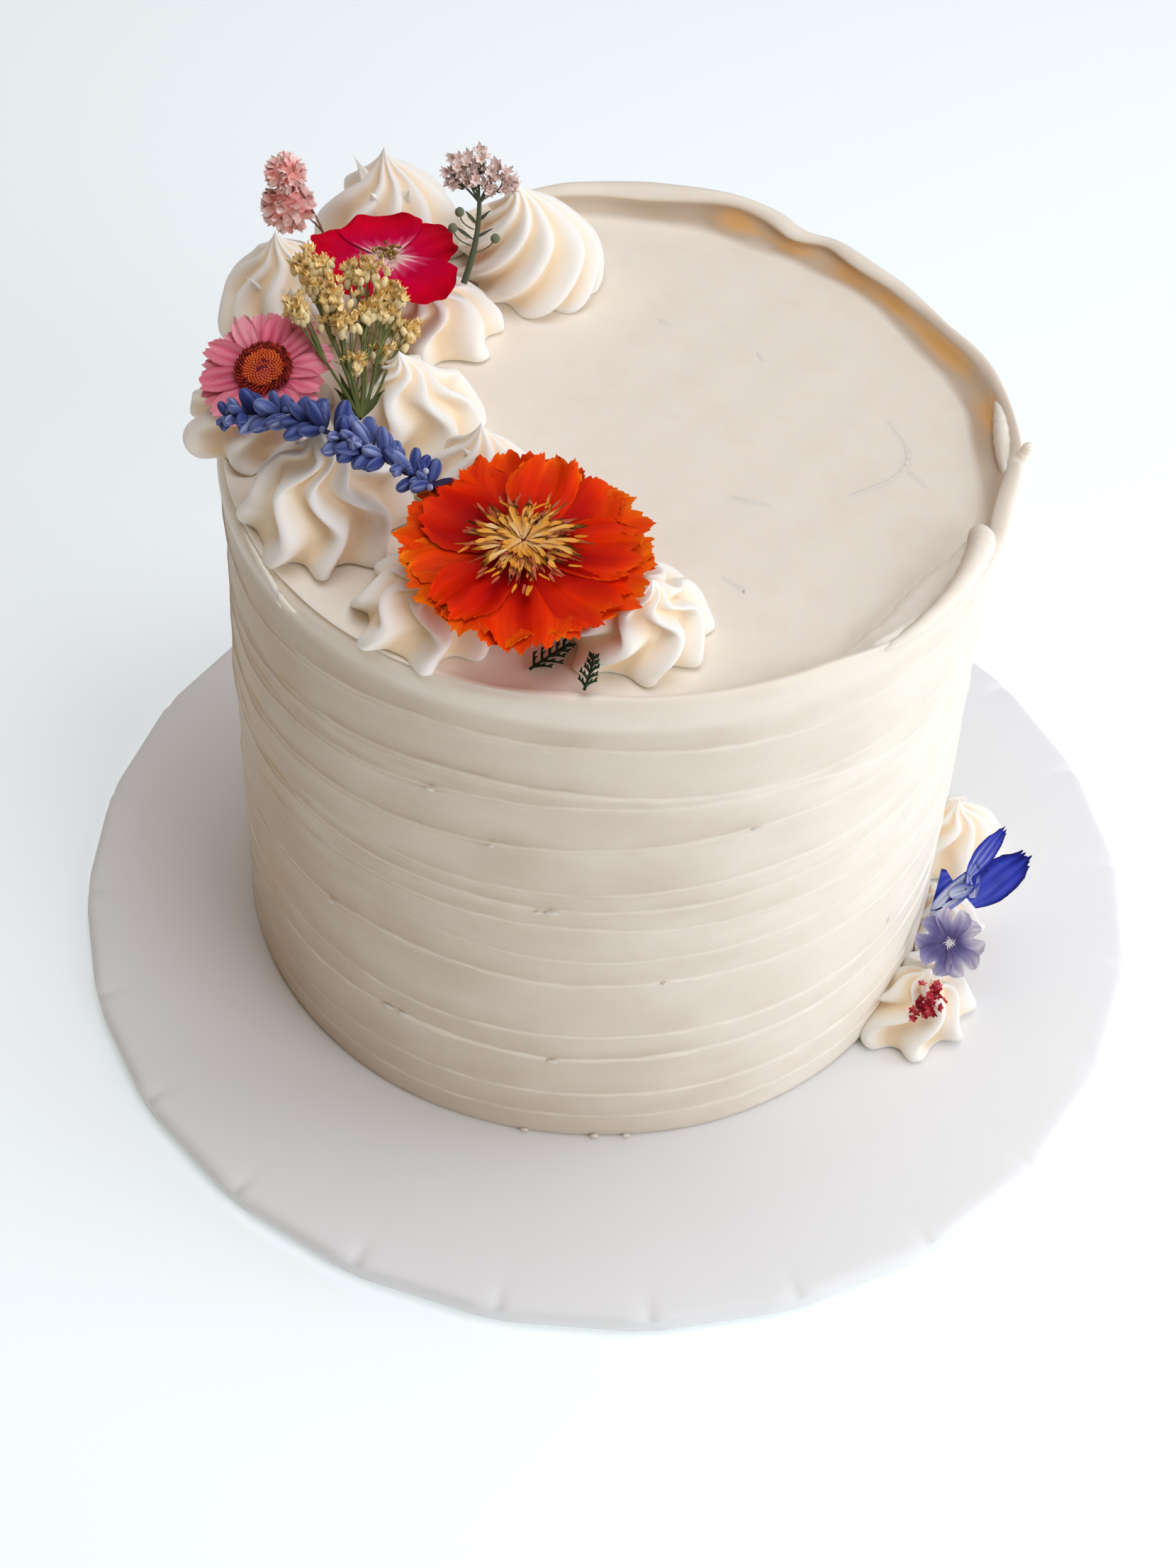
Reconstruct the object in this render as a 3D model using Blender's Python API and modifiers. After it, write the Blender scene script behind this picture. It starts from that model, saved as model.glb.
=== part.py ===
"""A round iced cake on its card board, with piped swirls and pressed flowers.

Lengths are metres and +Z is up. The origin is the centre of the board's flat underside.
The front, where the fewest flowers are, faces -Y. Angles round the cake start at -Y and grow towards +X.
"""
import math
import random

import bmesh
import bpy
import numpy as np
from mathutils import Matrix, Vector
from mathutils.bvhtree import BVHTree

MM = 0.001
GAP = 0.3 * MM
MERGE = 0.05 * MM

# Board
BOARD_RADIUS = 127.0 * MM
BOARD_THICKNESS = 5.0 * MM
BOARD_PLEATS = 24
BOARD_FIRST_PLEAT = math.radians(6.0)
BOARD_EDGE_ROUND = 1.2 * MM

# Cake, in a frame that stands on the board
CAKE_OFFSET = Vector((-4.7 * MM, 3.9 * MM, BOARD_THICKNESS))
CAKE_FOOT_RADIUS = 82.5 * MM
CAKE_TOP_RADIUS = 83.2 * MM
CAKE_TOP = 136.5 * MM
CAKE_STEPS = 42
LIP_INNER_RADIUS = 78.0 * MM
LIP_HEIGHT = 5.0 * MM
SHOULDER_DROP = 2.0 * MM

# Each ridge left by the comb: height, how far it climbs and falls round the cake, and where it is highest
RIDGES = (
    (8.0, 0.6, 90), (16.0, 0.8, 90), (29.5, 2.0, 170), (40.0, 2.5, 110), (53.5, 0.8, 90),
    (66.0, 0.6, 90), (76.0, 2.5, 20), (87.0, 3.5, 105), (98.0, 4.5, 85), (109.0, 3.5, 20), (123.5, 2.5, -15),
)
RIDGE_LIP = 0.9 * MM
RIDGE_GROOVE = 0.5 * MM
RIDGE_SHELF = 1.8 * MM

# The raised rim: angle in degrees, height above the flat top, and radius of the flat inside it
RIM = (
    (-180, 7.9, 80.0), (-170, 6.5, 80.0), (-158, 1.0, 80.0), (-150, 0.0, 79.0), (-16, 0.0, 79.0),
    (-8, 3.5, 79.5), (0, 4.5, 79.5), (38, 4.5, 79.5), (50, 6.5, 78.5), (60, 8.0, 78.0), (68, 8.8, 78.5),
    (75, 3.8, 80.0), (83, 4.6, 79.5), (97, 3.6, 77.8), (107, 3.3, 76.7), (118, 3.2, 75.1),
    (137, 4.8, 75.7), (153, 6.3, 77.0), (166, 7.1, 79.4), (180, 7.9, 80.0),
)
RIM_NUB = (83.0, 7.0, 1.8)

# Piped swirls on the top: x, y, radius, height, twist in degrees, wave in degrees, lean of the tip in x and y
SWIRLS = (
    (-20.5, 53.5, 16.0, 25.0, 95, 8, -4.5, 0.0),
    (-52.5, 59.5, 16.5, 26.5, 30, 22, -1.0, 1.0),
    (-72.0, 31.0, 16.0, 23.5, -25, 24, -2.0, 1.0),
    (-41.0, 32.0, 15.0, 13.5, 40, 14, 0.0, 0.0),
    (-43.0, -1.0, 15.5, 18.5, 60, 20, -2.0, 1.0),
    (-74.0, -4.0, 16.0, 15.0, -40, 16, 0.0, 0.0),
    (-57.5, -33.0, 17.5, 23.0, -35, 28, 0.0, 3.0),
    (-26.5, -24.0, 13.0, 19.0, 45, 12, 0.0, 2.0),
    (-34.0, -58.0, 16.5, 13.5, -40, 20, 0.0, 0.0),
    (6.0, -60.5, 16.0, 15.5, 50, 16, 3.0, -1.0),
)

# Piped swirls that stand on the board against the side
BASE_SWIRLS = (
    (77.0, -42.0, 15.0, 17.0, 40, 24, 3.0, 0.0),
    (82.5, -18.5, 13.0, 16.0, -30, 20, 3.0, 0.0),
    (89.0, 10.0, 14.0, 18.0, 45, 12, 0.0, 1.0),
)
SWIRL_RIBS = 8
SWIRL_STEPS = 24
SWIRL_RIB_DEPTH = 0.24
SWIRL_OUTLINE = (
    (0.0, 1.0), (0.10, 0.89), (0.34, 0.75), (0.63, 0.60), (0.88, 0.41), (1.0, 0.17), (0.86, 0.0), (0.0, 0.0),
)
SIDE_CLEARANCE = 1.4 * MM

# Pressed flowers: each round one as its middle, radius, and the direction and size of its lean in degrees
PETAL_THICKNESS = 0.7 * MM
STEM_RADIUS = 0.6 * MM
FLOWER_CLEARANCE = 0.45 * MM
ORANGE_FLOWER = ((-15.5, -55.0, 150.0), 24.5, 0, 9)
RED_FLOWER = ((-49.0, 36.0, 152.5), 16.8, 0, 4)
PINK_DAISY = ((-72.0, -6.5, 154.0), 14.5, -20, 22)
VIOLET_FLOWER = ((85.5, -30.0, 13.0), 8.2, 10, 36)
RED_BITS = ((80.2, -48.3, 13.0), 10, 36)
BLUE_PETALS = ((87.4, -15.5, 17.0), 0, 36)
# Torn petals: length, width, turn, offset and lean
BLUE_PETAL_ROWS = (
    (17.4, 9.0, -46, (7.6, 0.8, 1.0), 6), (13.5, 4.6, -34, (4.4, 7.0, 1.6), 10),
    (12.0, 11.0, 110, (-7.6, -3.0, 0.2), -8), (17.0, 5.0, -43, (-0.8, -1.6, 0.6), 0),
)
# Fern tips: place and turn in degrees
FERN_TIPS = (((-9.5, -70.0, 137.0), 35), ((-3.0, -72.0, 137.0), -20))
FERN_LENGTH = 9.0 * MM
FERN_WIDTH = 3.6 * MM
# Sprigs: root, then each tip with its blossom's radius
YELLOW_ROOT = (-50.5, -14.0, 149.0)
YELLOW_TIPS = (
    (-65.0, 16.0, 165.0, 4.2), (-61.0, 8.0, 163.0, 4.0), (-53.0, 15.0, 162.0, 4.6), (-50.0, 19.0, 160.0, 4.2),
    (-56.5, 2.0, 159.0, 4.6), (-42.5, 10.0, 152.0, 4.0), (-49.0, 0.0, 155.0, 3.2),
)
WHITE_ROOT = (-33.8, 36.0, 148.0)
WHITE_TIPS = (
    (-36.5, 48.0, 170.0, 2.8), (-32.5, 50.0, 172.5, 3.2), (-28.0, 49.5, 171.0, 3.2), (-24.5, 48.5, 167.0, 3.0),
    (-30.5, 46.5, 165.0, 3.2),
)
PINK_ROOT = (-65.5, 45.0, 152.0)
PINK_TIPS = ((-73.1, 45.0, 166.7, 4.3), (-73.5, 45.0, 157.4, 5.4))
SPIKE_ROUTE = (
    (-80.8, -19.8, 151.0), (-72.4, -19.0, 152.0), (-65.5, -21.5, 153.5), (-58.8, -24.6, 154.5),
    (-51.3, -28.0, 153.5), (-44.6, -33.0, 151.5), (-39.9, -37.5, 150.2), (-34.0, -35.0, 150.0),
)
SPIKE_BUDS = 14

# Plain colours
WHITE_PAPER = (0.86, 0.87, 0.87)
IVORY_ICING = (0.80, 0.72, 0.60)
PIPED_ICING = (0.84, 0.76, 0.64)
ORANGE = (0.75, 0.09, 0.01)
RED = (0.45, 0.0, 0.02)
PINK = (0.62, 0.13, 0.23)
YELLOW = (0.55, 0.45, 0.16)
SLATE_BLUE = (0.10, 0.13, 0.38)
PALE_PINK = (0.62, 0.48, 0.44)
SALMON = (0.85, 0.38, 0.36)
DARK_GREEN = (0.10, 0.16, 0.06)
DEEP_BLUE = (0.12, 0.12, 0.55)
VIOLET = (0.42, 0.38, 0.60)
CRIMSON = (0.55, 0.05, 0.08)
PETAL_ROUGHNESS = 0.55

# Directions along which the flowers are set down
UP = Vector((0.0, 0.0, 1.0))
ABOVE_FRONT = Vector((0.08, -0.78, 0.62)).normalized()
BASE_FRONT = Vector((-0.13, -0.65, 0.75)).normalized()
OUT_FROM_SIDE = Vector((0.94, -0.34, 0.0))
SEARCH_REACH = 200.0 * MM

# Search for a clear place, in steps of the gap
OUTWARD_STEPS = 14
AWAY_STEPS = 40
OUTWARD_COST = 3


def clear_scene():
    for obj in list(bpy.data.objects):
        bpy.data.objects.remove(obj, do_unlink=True)


def new_collection(name):
    collection = bpy.data.collections.new(name)
    bpy.context.scene.collection.children.link(collection)
    return collection


def make_material(name, colour, roughness):
    """A plain Principled material with the part's colour, roughness and no metal."""
    material = bpy.data.materials.new(name)
    material.use_nodes = True
    shader = material.node_tree.nodes["Principled BSDF"]
    shader.inputs["Base Color"].default_value = (*colour, 1.0)
    shader.inputs["Roughness"].default_value = roughness
    shader.inputs["Metallic"].default_value = 0.0
    material.diffuse_color = (*colour, 1.0)
    return material


def bake(obj):
    """Gives the object its evaluated mesh, so that a rule can shape every vertex."""
    depsgraph = bpy.context.evaluated_depsgraph_get()
    mesh = bpy.data.meshes.new_from_object(obj.evaluated_get(depsgraph))
    old = obj.data
    obj.modifiers.clear()
    obj.data = mesh
    bpy.data.meshes.remove(old)


def turned(name, profile, steps, collection):
    """Turns a profile of (radius, height) pairs about Z; it runs from top to bottom."""
    mesh = bpy.data.meshes.new(name)
    points = [(radius, 0.0, height) for radius, height in profile]
    mesh.from_pydata(points, [(i, i + 1) for i in range(len(points) - 1)], [])
    obj = bpy.data.objects.new(name, mesh)
    collection.objects.link(obj)
    screw = obj.modifiers.new("turn", "SCREW")
    screw.steps = steps
    screw.render_steps = steps
    screw.use_merge_vertices = True
    screw.merge_threshold = MERGE
    bake(obj)
    return obj


def round_about(radius, angle, height):
    """The point at an angle from -Y, growing towards +X."""
    return Vector((radius * math.sin(angle), -radius * math.cos(angle), height))


def reshape(obj, rule):
    """Moves every vertex to rule(radius, angle, height)."""
    for vertex in obj.data.vertices:
        x, y, z = vertex.co
        vertex.co = rule(math.hypot(x, y), math.atan2(x, -y), z)


def triangulate(obj):
    bm = bmesh.new()
    bm.from_mesh(obj.data)
    bmesh.ops.triangulate(bm, faces=bm.faces)
    bm.to_mesh(obj.data)
    bm.free()


def dress(obj, material, collection, parent):
    """Puts a finished piece in its collection, with its material, under the parent."""
    for owner in list(obj.users_collection):
        owner.objects.unlink(obj)
    collection.objects.link(obj)
    obj.data.materials.clear()
    obj.data.materials.append(material)
    obj.data.shade_smooth()
    obj.data.set_sharp_from_angle(angle=math.radians(50))
    obj.parent = parent
    return obj


def make_board(collection):
    """A wrapped card round: the folds of its paper make the edge a little angular."""
    steps = BOARD_PLEATS * 2
    bpy.ops.mesh.primitive_cylinder_add(vertices=steps, radius=BOARD_RADIUS, depth=BOARD_THICKNESS)
    obj = bpy.context.active_object
    obj.name = "board"
    facet = 2.0 * math.pi / BOARD_PLEATS

    def facet_edge(radius, angle, height):
        place = (angle - BOARD_FIRST_PLEAT) % facet - facet / 2.0
        share = math.cos(facet / 2.0) / math.cos(place)
        return round_about(radius * share, angle, height + BOARD_THICKNESS / 2.0)

    obj.data.transform(Matrix.Rotation(BOARD_FIRST_PLEAT - math.pi / 2.0, 4, "Z"))
    reshape(obj, facet_edge)
    bevel = obj.modifiers.new("edge", "BEVEL")
    bevel.width = BOARD_EDGE_ROUND
    bevel.segments = 1
    bevel.limit_method = "ANGLE"
    bevel.angle_limit = math.radians(60)
    material = make_material("white paper", WHITE_PAPER, 0.6)
    return dress(obj, material, collection, None)


def rim_at(angle):
    """Height of the rim above the flat top, and the radius of the flat, at an angle."""
    degrees = math.degrees(angle)
    angles = [row[0] for row in RIM]
    lift = np.interp(degrees, angles, [row[1] for row in RIM])
    inner = np.interp(degrees, angles, [row[2] for row in RIM])
    return float(lift) * MM, float(inner) * MM


def side_radius(height):
    return CAKE_FOOT_RADIUS + (CAKE_TOP_RADIUS - CAKE_FOOT_RADIUS) * min(1.0, height / CAKE_TOP)


def ridge_shift(angle, height):
    """How far the ridges near a height climb or fall at an angle."""
    heights = [0.0] + [row[0] * MM for row in RIDGES] + [CAKE_TOP - 2.0 * MM]
    shifts = [row[1] * MM * math.cos(angle - math.radians(row[2])) for row in RIDGES]
    return float(np.interp(height, heights, [0.0] + shifts + [0.0]))


def cake_surface(radius, angle, height):
    """The turned cake pushed to its uneven, hand-spread shape."""
    lift, inner = rim_at(angle)
    if height > CAKE_TOP - 1.0 * MM and radius > LIP_INNER_RADIUS - 0.01 * MM:
        across = (radius - LIP_INNER_RADIUS) / (CAKE_TOP_RADIUS - LIP_INNER_RADIUS)
        up = (height - CAKE_TOP) / LIP_HEIGHT
        centre, width, size = RIM_NUB
        away = (math.degrees(angle) - centre) / width
        nub = size * MM * math.exp(-away * away) * max(0.0, across)
        flat_share = max(0.0, 1.0 - lift / (3.0 * MM))
        drop = SHOULDER_DROP * flat_share * max(0.0, across - 0.5) ** 2 * 4.0
        radius = inner + (CAKE_TOP_RADIUS - inner) * across + nub
        return round_about(radius, angle, CAKE_TOP + up * lift - drop)
    if height > CAKE_TOP - 1.0 * MM:
        return round_about(radius * inner / LIP_INNER_RADIUS, angle, height)
    if radius < CAKE_FOOT_RADIUS / 2.0:
        return round_about(radius, angle, height)
    mean = side_radius(height)
    fade = 0.70 + 0.30 * math.sin(2.0 * angle + 210.0 * height)
    wobble = 0.25 * MM * math.sin(3.0 * angle + 40.0 * height)
    radius = mean + (radius - mean) * fade + wobble
    return round_about(radius, angle, height + ridge_shift(angle, height))


def cake_profile():
    """The cake's section from the middle of the top, over the rim and down the ridges."""
    width = CAKE_TOP_RADIUS - LIP_INNER_RADIUS
    profile = [(0.0, CAKE_TOP), (40.0 * MM, CAKE_TOP)]
    rim = ((0.0, 0.0), (0.25, 0.40), (0.48, 0.88), (0.68, 1.0), (0.88, 0.85), (1.0, 0.42), (1.0, -0.12))
    for across, up in rim:
        profile.append((LIP_INNER_RADIUS + width * across, CAKE_TOP + LIP_HEIGHT * up))
    above = CAKE_TOP - 3.5 * MM
    for row in reversed(RIDGES):
        height = row[0] * MM
        profile.append((side_radius(height) + 0.15 * MM, (above + height) / 2.0))
        profile.append((side_radius(height) - RIDGE_GROOVE, height + RIDGE_SHELF))
        profile.append((side_radius(height) + RIDGE_LIP, height))
        above = height
    profile.append((CAKE_FOOT_RADIUS, 3.0 * MM))
    profile.append((CAKE_FOOT_RADIUS, GAP))
    profile.append((0.0, GAP))
    return profile


def make_cake(collection, parent):
    obj = turned("cake", cake_profile(), CAKE_STEPS, collection)
    reshape(obj, cake_surface)
    material = make_material("ivory icing", IVORY_ICING, 0.5)
    return dress(obj, material, collection, parent)


def make_swirl(name, row, foot_height, collection):
    """A piped star swirl: a turned drop with ribs that wind and wave up to a leaning tip."""
    x, y, radius, height, twist, wave, lean_x, lean_y = row
    size = radius * MM
    tall = height * MM
    profile = [(share * size, up * tall) for share, up in SWIRL_OUTLINE]
    obj = turned(name, profile, SWIRL_STEPS, collection)
    lean = Vector((lean_x, lean_y, 0.0)) * MM

    def ribbed(distance, angle, level):
        up = level / tall
        crest = abs(math.cos(SWIRL_RIBS / 2.0 * angle))
        depth = SWIRL_RIB_DEPTH * min(1.0, 0.45 + up) * (1.0 - up ** 3)
        wound = angle + math.radians(twist) * up + math.radians(wave) * math.sin(2.2 * math.pi * up)
        distance *= 1.0 - depth * (1.0 - crest)
        return round_about(distance, wound, level) + lean * up * up

    reshape(obj, ribbed)
    obj.data.transform(Matrix.Translation((x * MM, y * MM, foot_height)))
    return obj


def cut_flat(obj, point, normal):
    """Cuts away what lies beyond a plane and closes the cut."""
    bm = bmesh.new()
    bm.from_mesh(obj.data)
    geometry = bm.verts[:] + bm.edges[:] + bm.faces[:]
    cut = bmesh.ops.bisect_plane(bm, geom=geometry, dist=0.001 * MM, plane_co=point, plane_no=normal,
                                 clear_outer=True)
    edges = [item for item in cut["geom_cut"] if isinstance(item, bmesh.types.BMEdge)]
    if edges:
        bmesh.ops.contextual_create(bm, geom=edges)
    bmesh.ops.remove_doubles(bm, verts=bm.verts, dist=0.01 * MM)
    bmesh.ops.recalc_face_normals(bm, faces=bm.faces)
    bm.to_mesh(obj.data)
    bm.free()


def part_neighbours(objects, rows):
    """Where two swirls press together, each keeps its own side of a flat seam."""
    for i, first in enumerate(rows):
        for j, second in enumerate(rows):
            start = Vector((first[0], first[1], 0.0)) * MM
            end = Vector((second[0], second[1], 0.0)) * MM
            away = end - start
            if i == j or away.length > (first[2] + second[2] + 3.0) * MM:
                continue
            reach = away.length * first[2] / (first[2] + second[2]) - 0.75 * GAP
            direction = away.normalized()
            cut_flat(objects[i], start + direction * reach, direction)


def cut_round_side(obj, collection):
    """Cuts a swirl on the board clear of the cake's side."""
    bpy.ops.mesh.primitive_cylinder_add(vertices=CAKE_STEPS * 2, radius=CAKE_FOOT_RADIUS + SIDE_CLEARANCE,
                                        depth=100.0 * MM)
    cutter = bpy.context.active_object
    cutter.name = "cutter_" + obj.name
    cutter.hide_render = True
    cutter.display_type = "WIRE"
    for owner in list(cutter.users_collection):
        owner.objects.unlink(cutter)
    collection.objects.link(cutter)
    boolean = obj.modifiers.new("side", "BOOLEAN")
    boolean.operation = "DIFFERENCE"
    boolean.solver = "EXACT"
    boolean.object = cutter
    bake(obj)
    bpy.data.objects.remove(cutter, do_unlink=True)


def tree_of(objects):
    """A search tree over several meshes in the cake's frame."""
    points = []
    faces = []
    for obj in objects:
        start = len(points)
        points.extend(vertex.co.copy() for vertex in obj.data.vertices)
        faces.extend([start + index for index in face.vertices] for face in obj.data.polygons)
    return BVHTree.FromPolygons(points, faces), points


def rest(obj, supports, away, gap):
    """Slides a piece along away until it just clears the pieces under it."""
    under, under_points = tree_of(supports)
    piece, piece_points = tree_of([obj])
    clearances = []
    for point in piece_points:
        hit = under.ray_cast(point + away * SEARCH_REACH, -away)[0]
        if hit is not None:
            clearances.append((point - hit).dot(away))
    for point in under_points:
        hit = piece.ray_cast(point - away * SEARCH_REACH, away)[0]
        if hit is not None:
            clearances.append((hit - point).dot(away))
    obj.data.transform(Matrix.Translation(away * (gap - min(clearances))))
    while under.overlap(tree_of([obj])[0]):
        obj.data.transform(Matrix.Translation(away * gap))


def settle(obj, supports, away, outward, gap):
    """Moves a piece as little as it takes to clear its supports, along away or out from the cake's side."""
    under = tree_of(supports)[0]
    best = None
    for step_out in range(OUTWARD_STEPS):
        for step_up in range(AWAY_STEPS):
            cost = step_up + OUTWARD_COST * step_out
            if best is not None and cost >= best[0]:
                break
            move = (away * step_up + outward * step_out) * gap
            trial = obj.copy()
            trial.data = obj.data.copy()
            trial.data.transform(Matrix.Translation(move))
            if not under.overlap(tree_of([trial])[0]):
                best = (cost, move + away * gap)
    if best is None:
        raise RuntimeError(f"{obj.name} has no clear place")
    obj.data.transform(Matrix.Translation(best[1]))


def disc(name, radius, rings, steps, shape, collection):
    """A thin flower made of a flat disc whose every point is placed by shape(share, angle)."""
    profile = [(radius * i / rings, 0.0) for i in range(rings + 1)]
    obj = turned(name, profile, steps, collection)

    def place(distance, angle, _):
        share = distance / radius
        reach, lift = shape(share, angle)
        return round_about(reach * radius, angle, lift)

    reshape(obj, place)
    triangulate(obj)
    thicken(obj)
    return obj


def thicken(obj):
    solid = obj.modifiers.new("thickness", "SOLIDIFY")
    solid.thickness = PETAL_THICKNESS
    solid.offset = 0.0
    bake(obj)


def ball(radius, place, stretch, tilt, detail):
    """A small faceted bud or blossom: an icosphere stretched along its own Z."""
    bpy.ops.mesh.primitive_ico_sphere_add(subdivisions=detail, radius=radius)
    obj = bpy.context.active_object
    turn = UP.rotation_difference(tilt).to_matrix().to_4x4()
    scale = Matrix.Diagonal((1.0, 1.0, stretch, 1.0))
    obj.data.transform(Matrix.Translation(place) @ turn @ scale)
    return obj


def stem(name, points, radius, collection):
    """A round stem through points, as a mesh with welded caps."""
    data = bpy.data.curves.new(name, "CURVE")
    data.dimensions = "3D"
    data.bevel_depth = radius
    data.bevel_resolution = 0
    data.use_fill_caps = True
    spline = data.splines.new("POLY")
    spline.points.add(len(points) - 1)
    for spot, point in zip(spline.points, points):
        spot.co = (*point, 1.0)
    curve = bpy.data.objects.new(name + "_curve", data)
    collection.objects.link(curve)
    depsgraph = bpy.context.evaluated_depsgraph_get()
    mesh = bpy.data.meshes.new_from_object(curve.evaluated_get(depsgraph))
    obj = bpy.data.objects.new(name, mesh)
    obj.matrix_world = curve.matrix_world
    collection.objects.link(obj)
    bpy.data.objects.remove(curve, do_unlink=True)
    bm = bmesh.new()
    bm.from_mesh(mesh)
    bmesh.ops.remove_doubles(bm, verts=bm.verts, dist=0.01 * MM)
    bmesh.ops.recalc_face_normals(bm, faces=bm.faces)
    bm.to_mesh(mesh)
    bm.free()
    return obj


def fuse(obj, others):
    """One Boolean union joins the others to the object."""
    group = new_collection("fused to " + obj.name)
    for other in others:
        for owner in list(other.users_collection):
            owner.objects.unlink(other)
        group.objects.link(other)
    union = obj.modifiers.new("union", "BOOLEAN")
    union.operation = "UNION"
    union.solver = "EXACT"
    union.operand_type = "COLLECTION"
    union.collection = group
    bake(obj)
    for other in others:
        bpy.data.objects.remove(other, do_unlink=True)
    bpy.data.collections.remove(group)


def tilted(obj, centre, lean_to, lean_degrees):
    """Leans a flower that lies flat, then carries it to its place."""
    axis = UP.cross(round_about(1.0, math.radians(lean_to), 0.0))
    turn = Matrix.Rotation(math.radians(lean_degrees), 4, axis)
    obj.data.transform(Matrix.Translation(Vector(centre) * MM) @ turn)


def petal_outline(count, depth, power, turn=0.0):
    """Rounded petals with notches between them: share of the full radius at an angle."""
    def outline(angle):
        wave = abs(math.cos(count / 2.0 * (angle - turn)))
        return 1.0 - depth * (1.0 - wave ** power)
    return outline


def make_orange_flower(collection):
    middle, radius, lean_to, lean = ORANGE_FLOWER
    outline = petal_outline(9, 0.13, 0.6, 0.1)

    def shape(share, angle):
        reach = share * (1.0 - (1.0 - outline(angle)) * share ** 3)
        ruffle = 1.3 * MM * math.sin(9.0 * angle) + 0.8 * MM * math.sin(4.0 * angle + 1.0)
        return reach, ruffle * share * share + 2.0 * MM * share

    obj = disc("orange_flower", radius * MM, 3, 36, shape, collection)
    eye = ball(6.5 * MM, UP * 0.6 * MM, 0.35, UP, 2)
    fuse(obj, [eye])
    tilted(obj, middle, lean_to, lean)
    return obj


def make_red_flower(collection):
    middle, radius, lean_to, lean = RED_FLOWER
    outline = petal_outline(5, 0.34, 0.45, math.radians(36))

    def shape(share, angle):
        reach = share * (1.0 - (1.0 - outline(angle)) * share ** 1.5)
        return reach, (1.2 * MM * math.cos(5.0 * angle) + 0.8 * MM * math.sin(2.0 * angle)) * share * share

    obj = disc("red_flower", radius * MM, 3, 40, shape, collection)
    fuse(obj, [ball(3.6 * MM, UP * 0.4 * MM, 0.4, UP, 2)])
    tilted(obj, middle, lean_to, lean)
    return obj


def make_daisy(collection):
    middle, radius, lean_to, lean = PINK_DAISY
    outline = petal_outline(15, 0.20, 0.7)

    def shape(share, angle):
        reach = share * (1.0 - (1.0 - outline(angle)) * share ** 2)
        return reach, 0.7 * MM * math.sin(5.0 * angle) * share * share - 1.0 * MM * share

    obj = disc("pink_daisy", radius * MM, 2, 45, shape, collection)
    fuse(obj, [ball(5.2 * MM, UP * 0.4 * MM, 0.42, UP, 2)])
    tilted(obj, middle, lean_to, lean)
    return obj


def make_violet_flower(collection):
    middle, radius, lean_to, lean = VIOLET_FLOWER
    outer = petal_outline(5, 0.30, 0.5)
    notch = petal_outline(10, 0.12, 0.5, math.radians(18))

    def shape(share, angle):
        cut = (1.0 - outer(angle)) * share ** 1.5 + (1.0 - notch(angle)) * share ** 4
        return share * (1.0 - cut), 0.4 * MM * math.sin(3.0 * angle) * share

    obj = disc("violet_flower", radius * MM, 2, 30, shape, collection)
    tilted(obj, middle, lean_to, lean)
    return obj


def blade(name, length, width, curl, collection):
    """A single petal or leaf along +Y with pointed ends, thin and a little curled."""
    bpy.ops.mesh.primitive_grid_add(x_subdivisions=2, y_subdivisions=5, size=1.0)
    obj = bpy.context.active_object
    obj.name = name
    for vertex in obj.data.vertices:
        x, y, _ = vertex.co
        along = y + 0.5
        half = 0.18 + 0.82 * math.sin(math.pi * min(1.0, along * 0.85 + 0.1))
        vertex.co = (x * width * half, y * length, curl * (4.0 * y * y + 2.0 * x * x))
    for owner in list(obj.users_collection):
        owner.objects.unlink(obj)
    collection.objects.link(obj)
    triangulate(obj)
    thicken(obj)
    return obj


def make_blue_petals(collection):
    """Torn petals that lie across the base swirls."""
    middle, lean_to, lean = BLUE_PETALS
    pieces = []
    for number, (length, width, turn, offset, roll) in enumerate(BLUE_PETAL_ROWS):
        petal = blade("petal_" + str(number), length * MM, width * MM, 0.6 * MM, collection)
        spin = Matrix.Rotation(math.radians(turn), 4, "Z") @ Matrix.Rotation(math.radians(roll), 4, "Y")
        petal.data.transform(Matrix.Translation(Vector(offset) * MM) @ spin)
        pieces.append(petal)
    obj = pieces.pop()
    obj.name = "blue_petals"
    fuse(obj, pieces)
    tilted(obj, middle, lean_to, lean)
    return obj


def make_red_bits(collection):
    """A tight cluster of tiny blossoms on the front base swirl."""
    middle, lean_to, lean = RED_BITS
    draw = random.Random(5)
    first = ball(2.2 * MM, Vector(), 0.7, UP, 1)
    first.name = "red_bits"
    others = []
    for number in range(7):
        place = Vector((draw.uniform(-2.6, 2.6), draw.uniform(-4.6, 4.6), draw.uniform(-0.4, 0.6))) * MM
        others.append(ball(draw.uniform(1.3, 1.8) * MM, place * 0.8, 0.8, UP, 1))
    fuse(first, others)
    for owner in list(first.users_collection):
        owner.objects.unlink(first)
    collection.objects.link(first)
    tilted(first, middle, lean_to, lean)
    return first


def stem_between(name, start, end, sag, collection, radius=STEM_RADIUS):
    """A stem from start to end with a slight bow upwards."""
    begin = Vector(start) * MM
    finish = Vector(end) * MM
    points = []
    for i in range(3):
        share = i / 2.0
        bow = Vector((0.0, 0.0, sag * MM * math.sin(math.pi * share)))
        points.append(begin.lerp(finish, share) + bow)
    return stem(name, points, radius, collection)


def make_sprig(name, root, tips, blossom, detail, collection):
    """A bunch of stems that fan out from a root, each with a blossom cluster at its tip."""
    pieces = []
    for number, tip in enumerate(tips):
        pieces.append(stem_between(name + "_stem_" + str(number), root, tip[:3], 0.8, collection))
        direction = (Vector(tip[:3]) - Vector(root)).normalized()
        pieces.append(ball(tip[3] * MM, Vector(tip[:3]) * MM, blossom, direction, detail))
    obj = pieces.pop(0)
    obj.name = name
    fuse(obj, pieces)
    return obj


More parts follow.
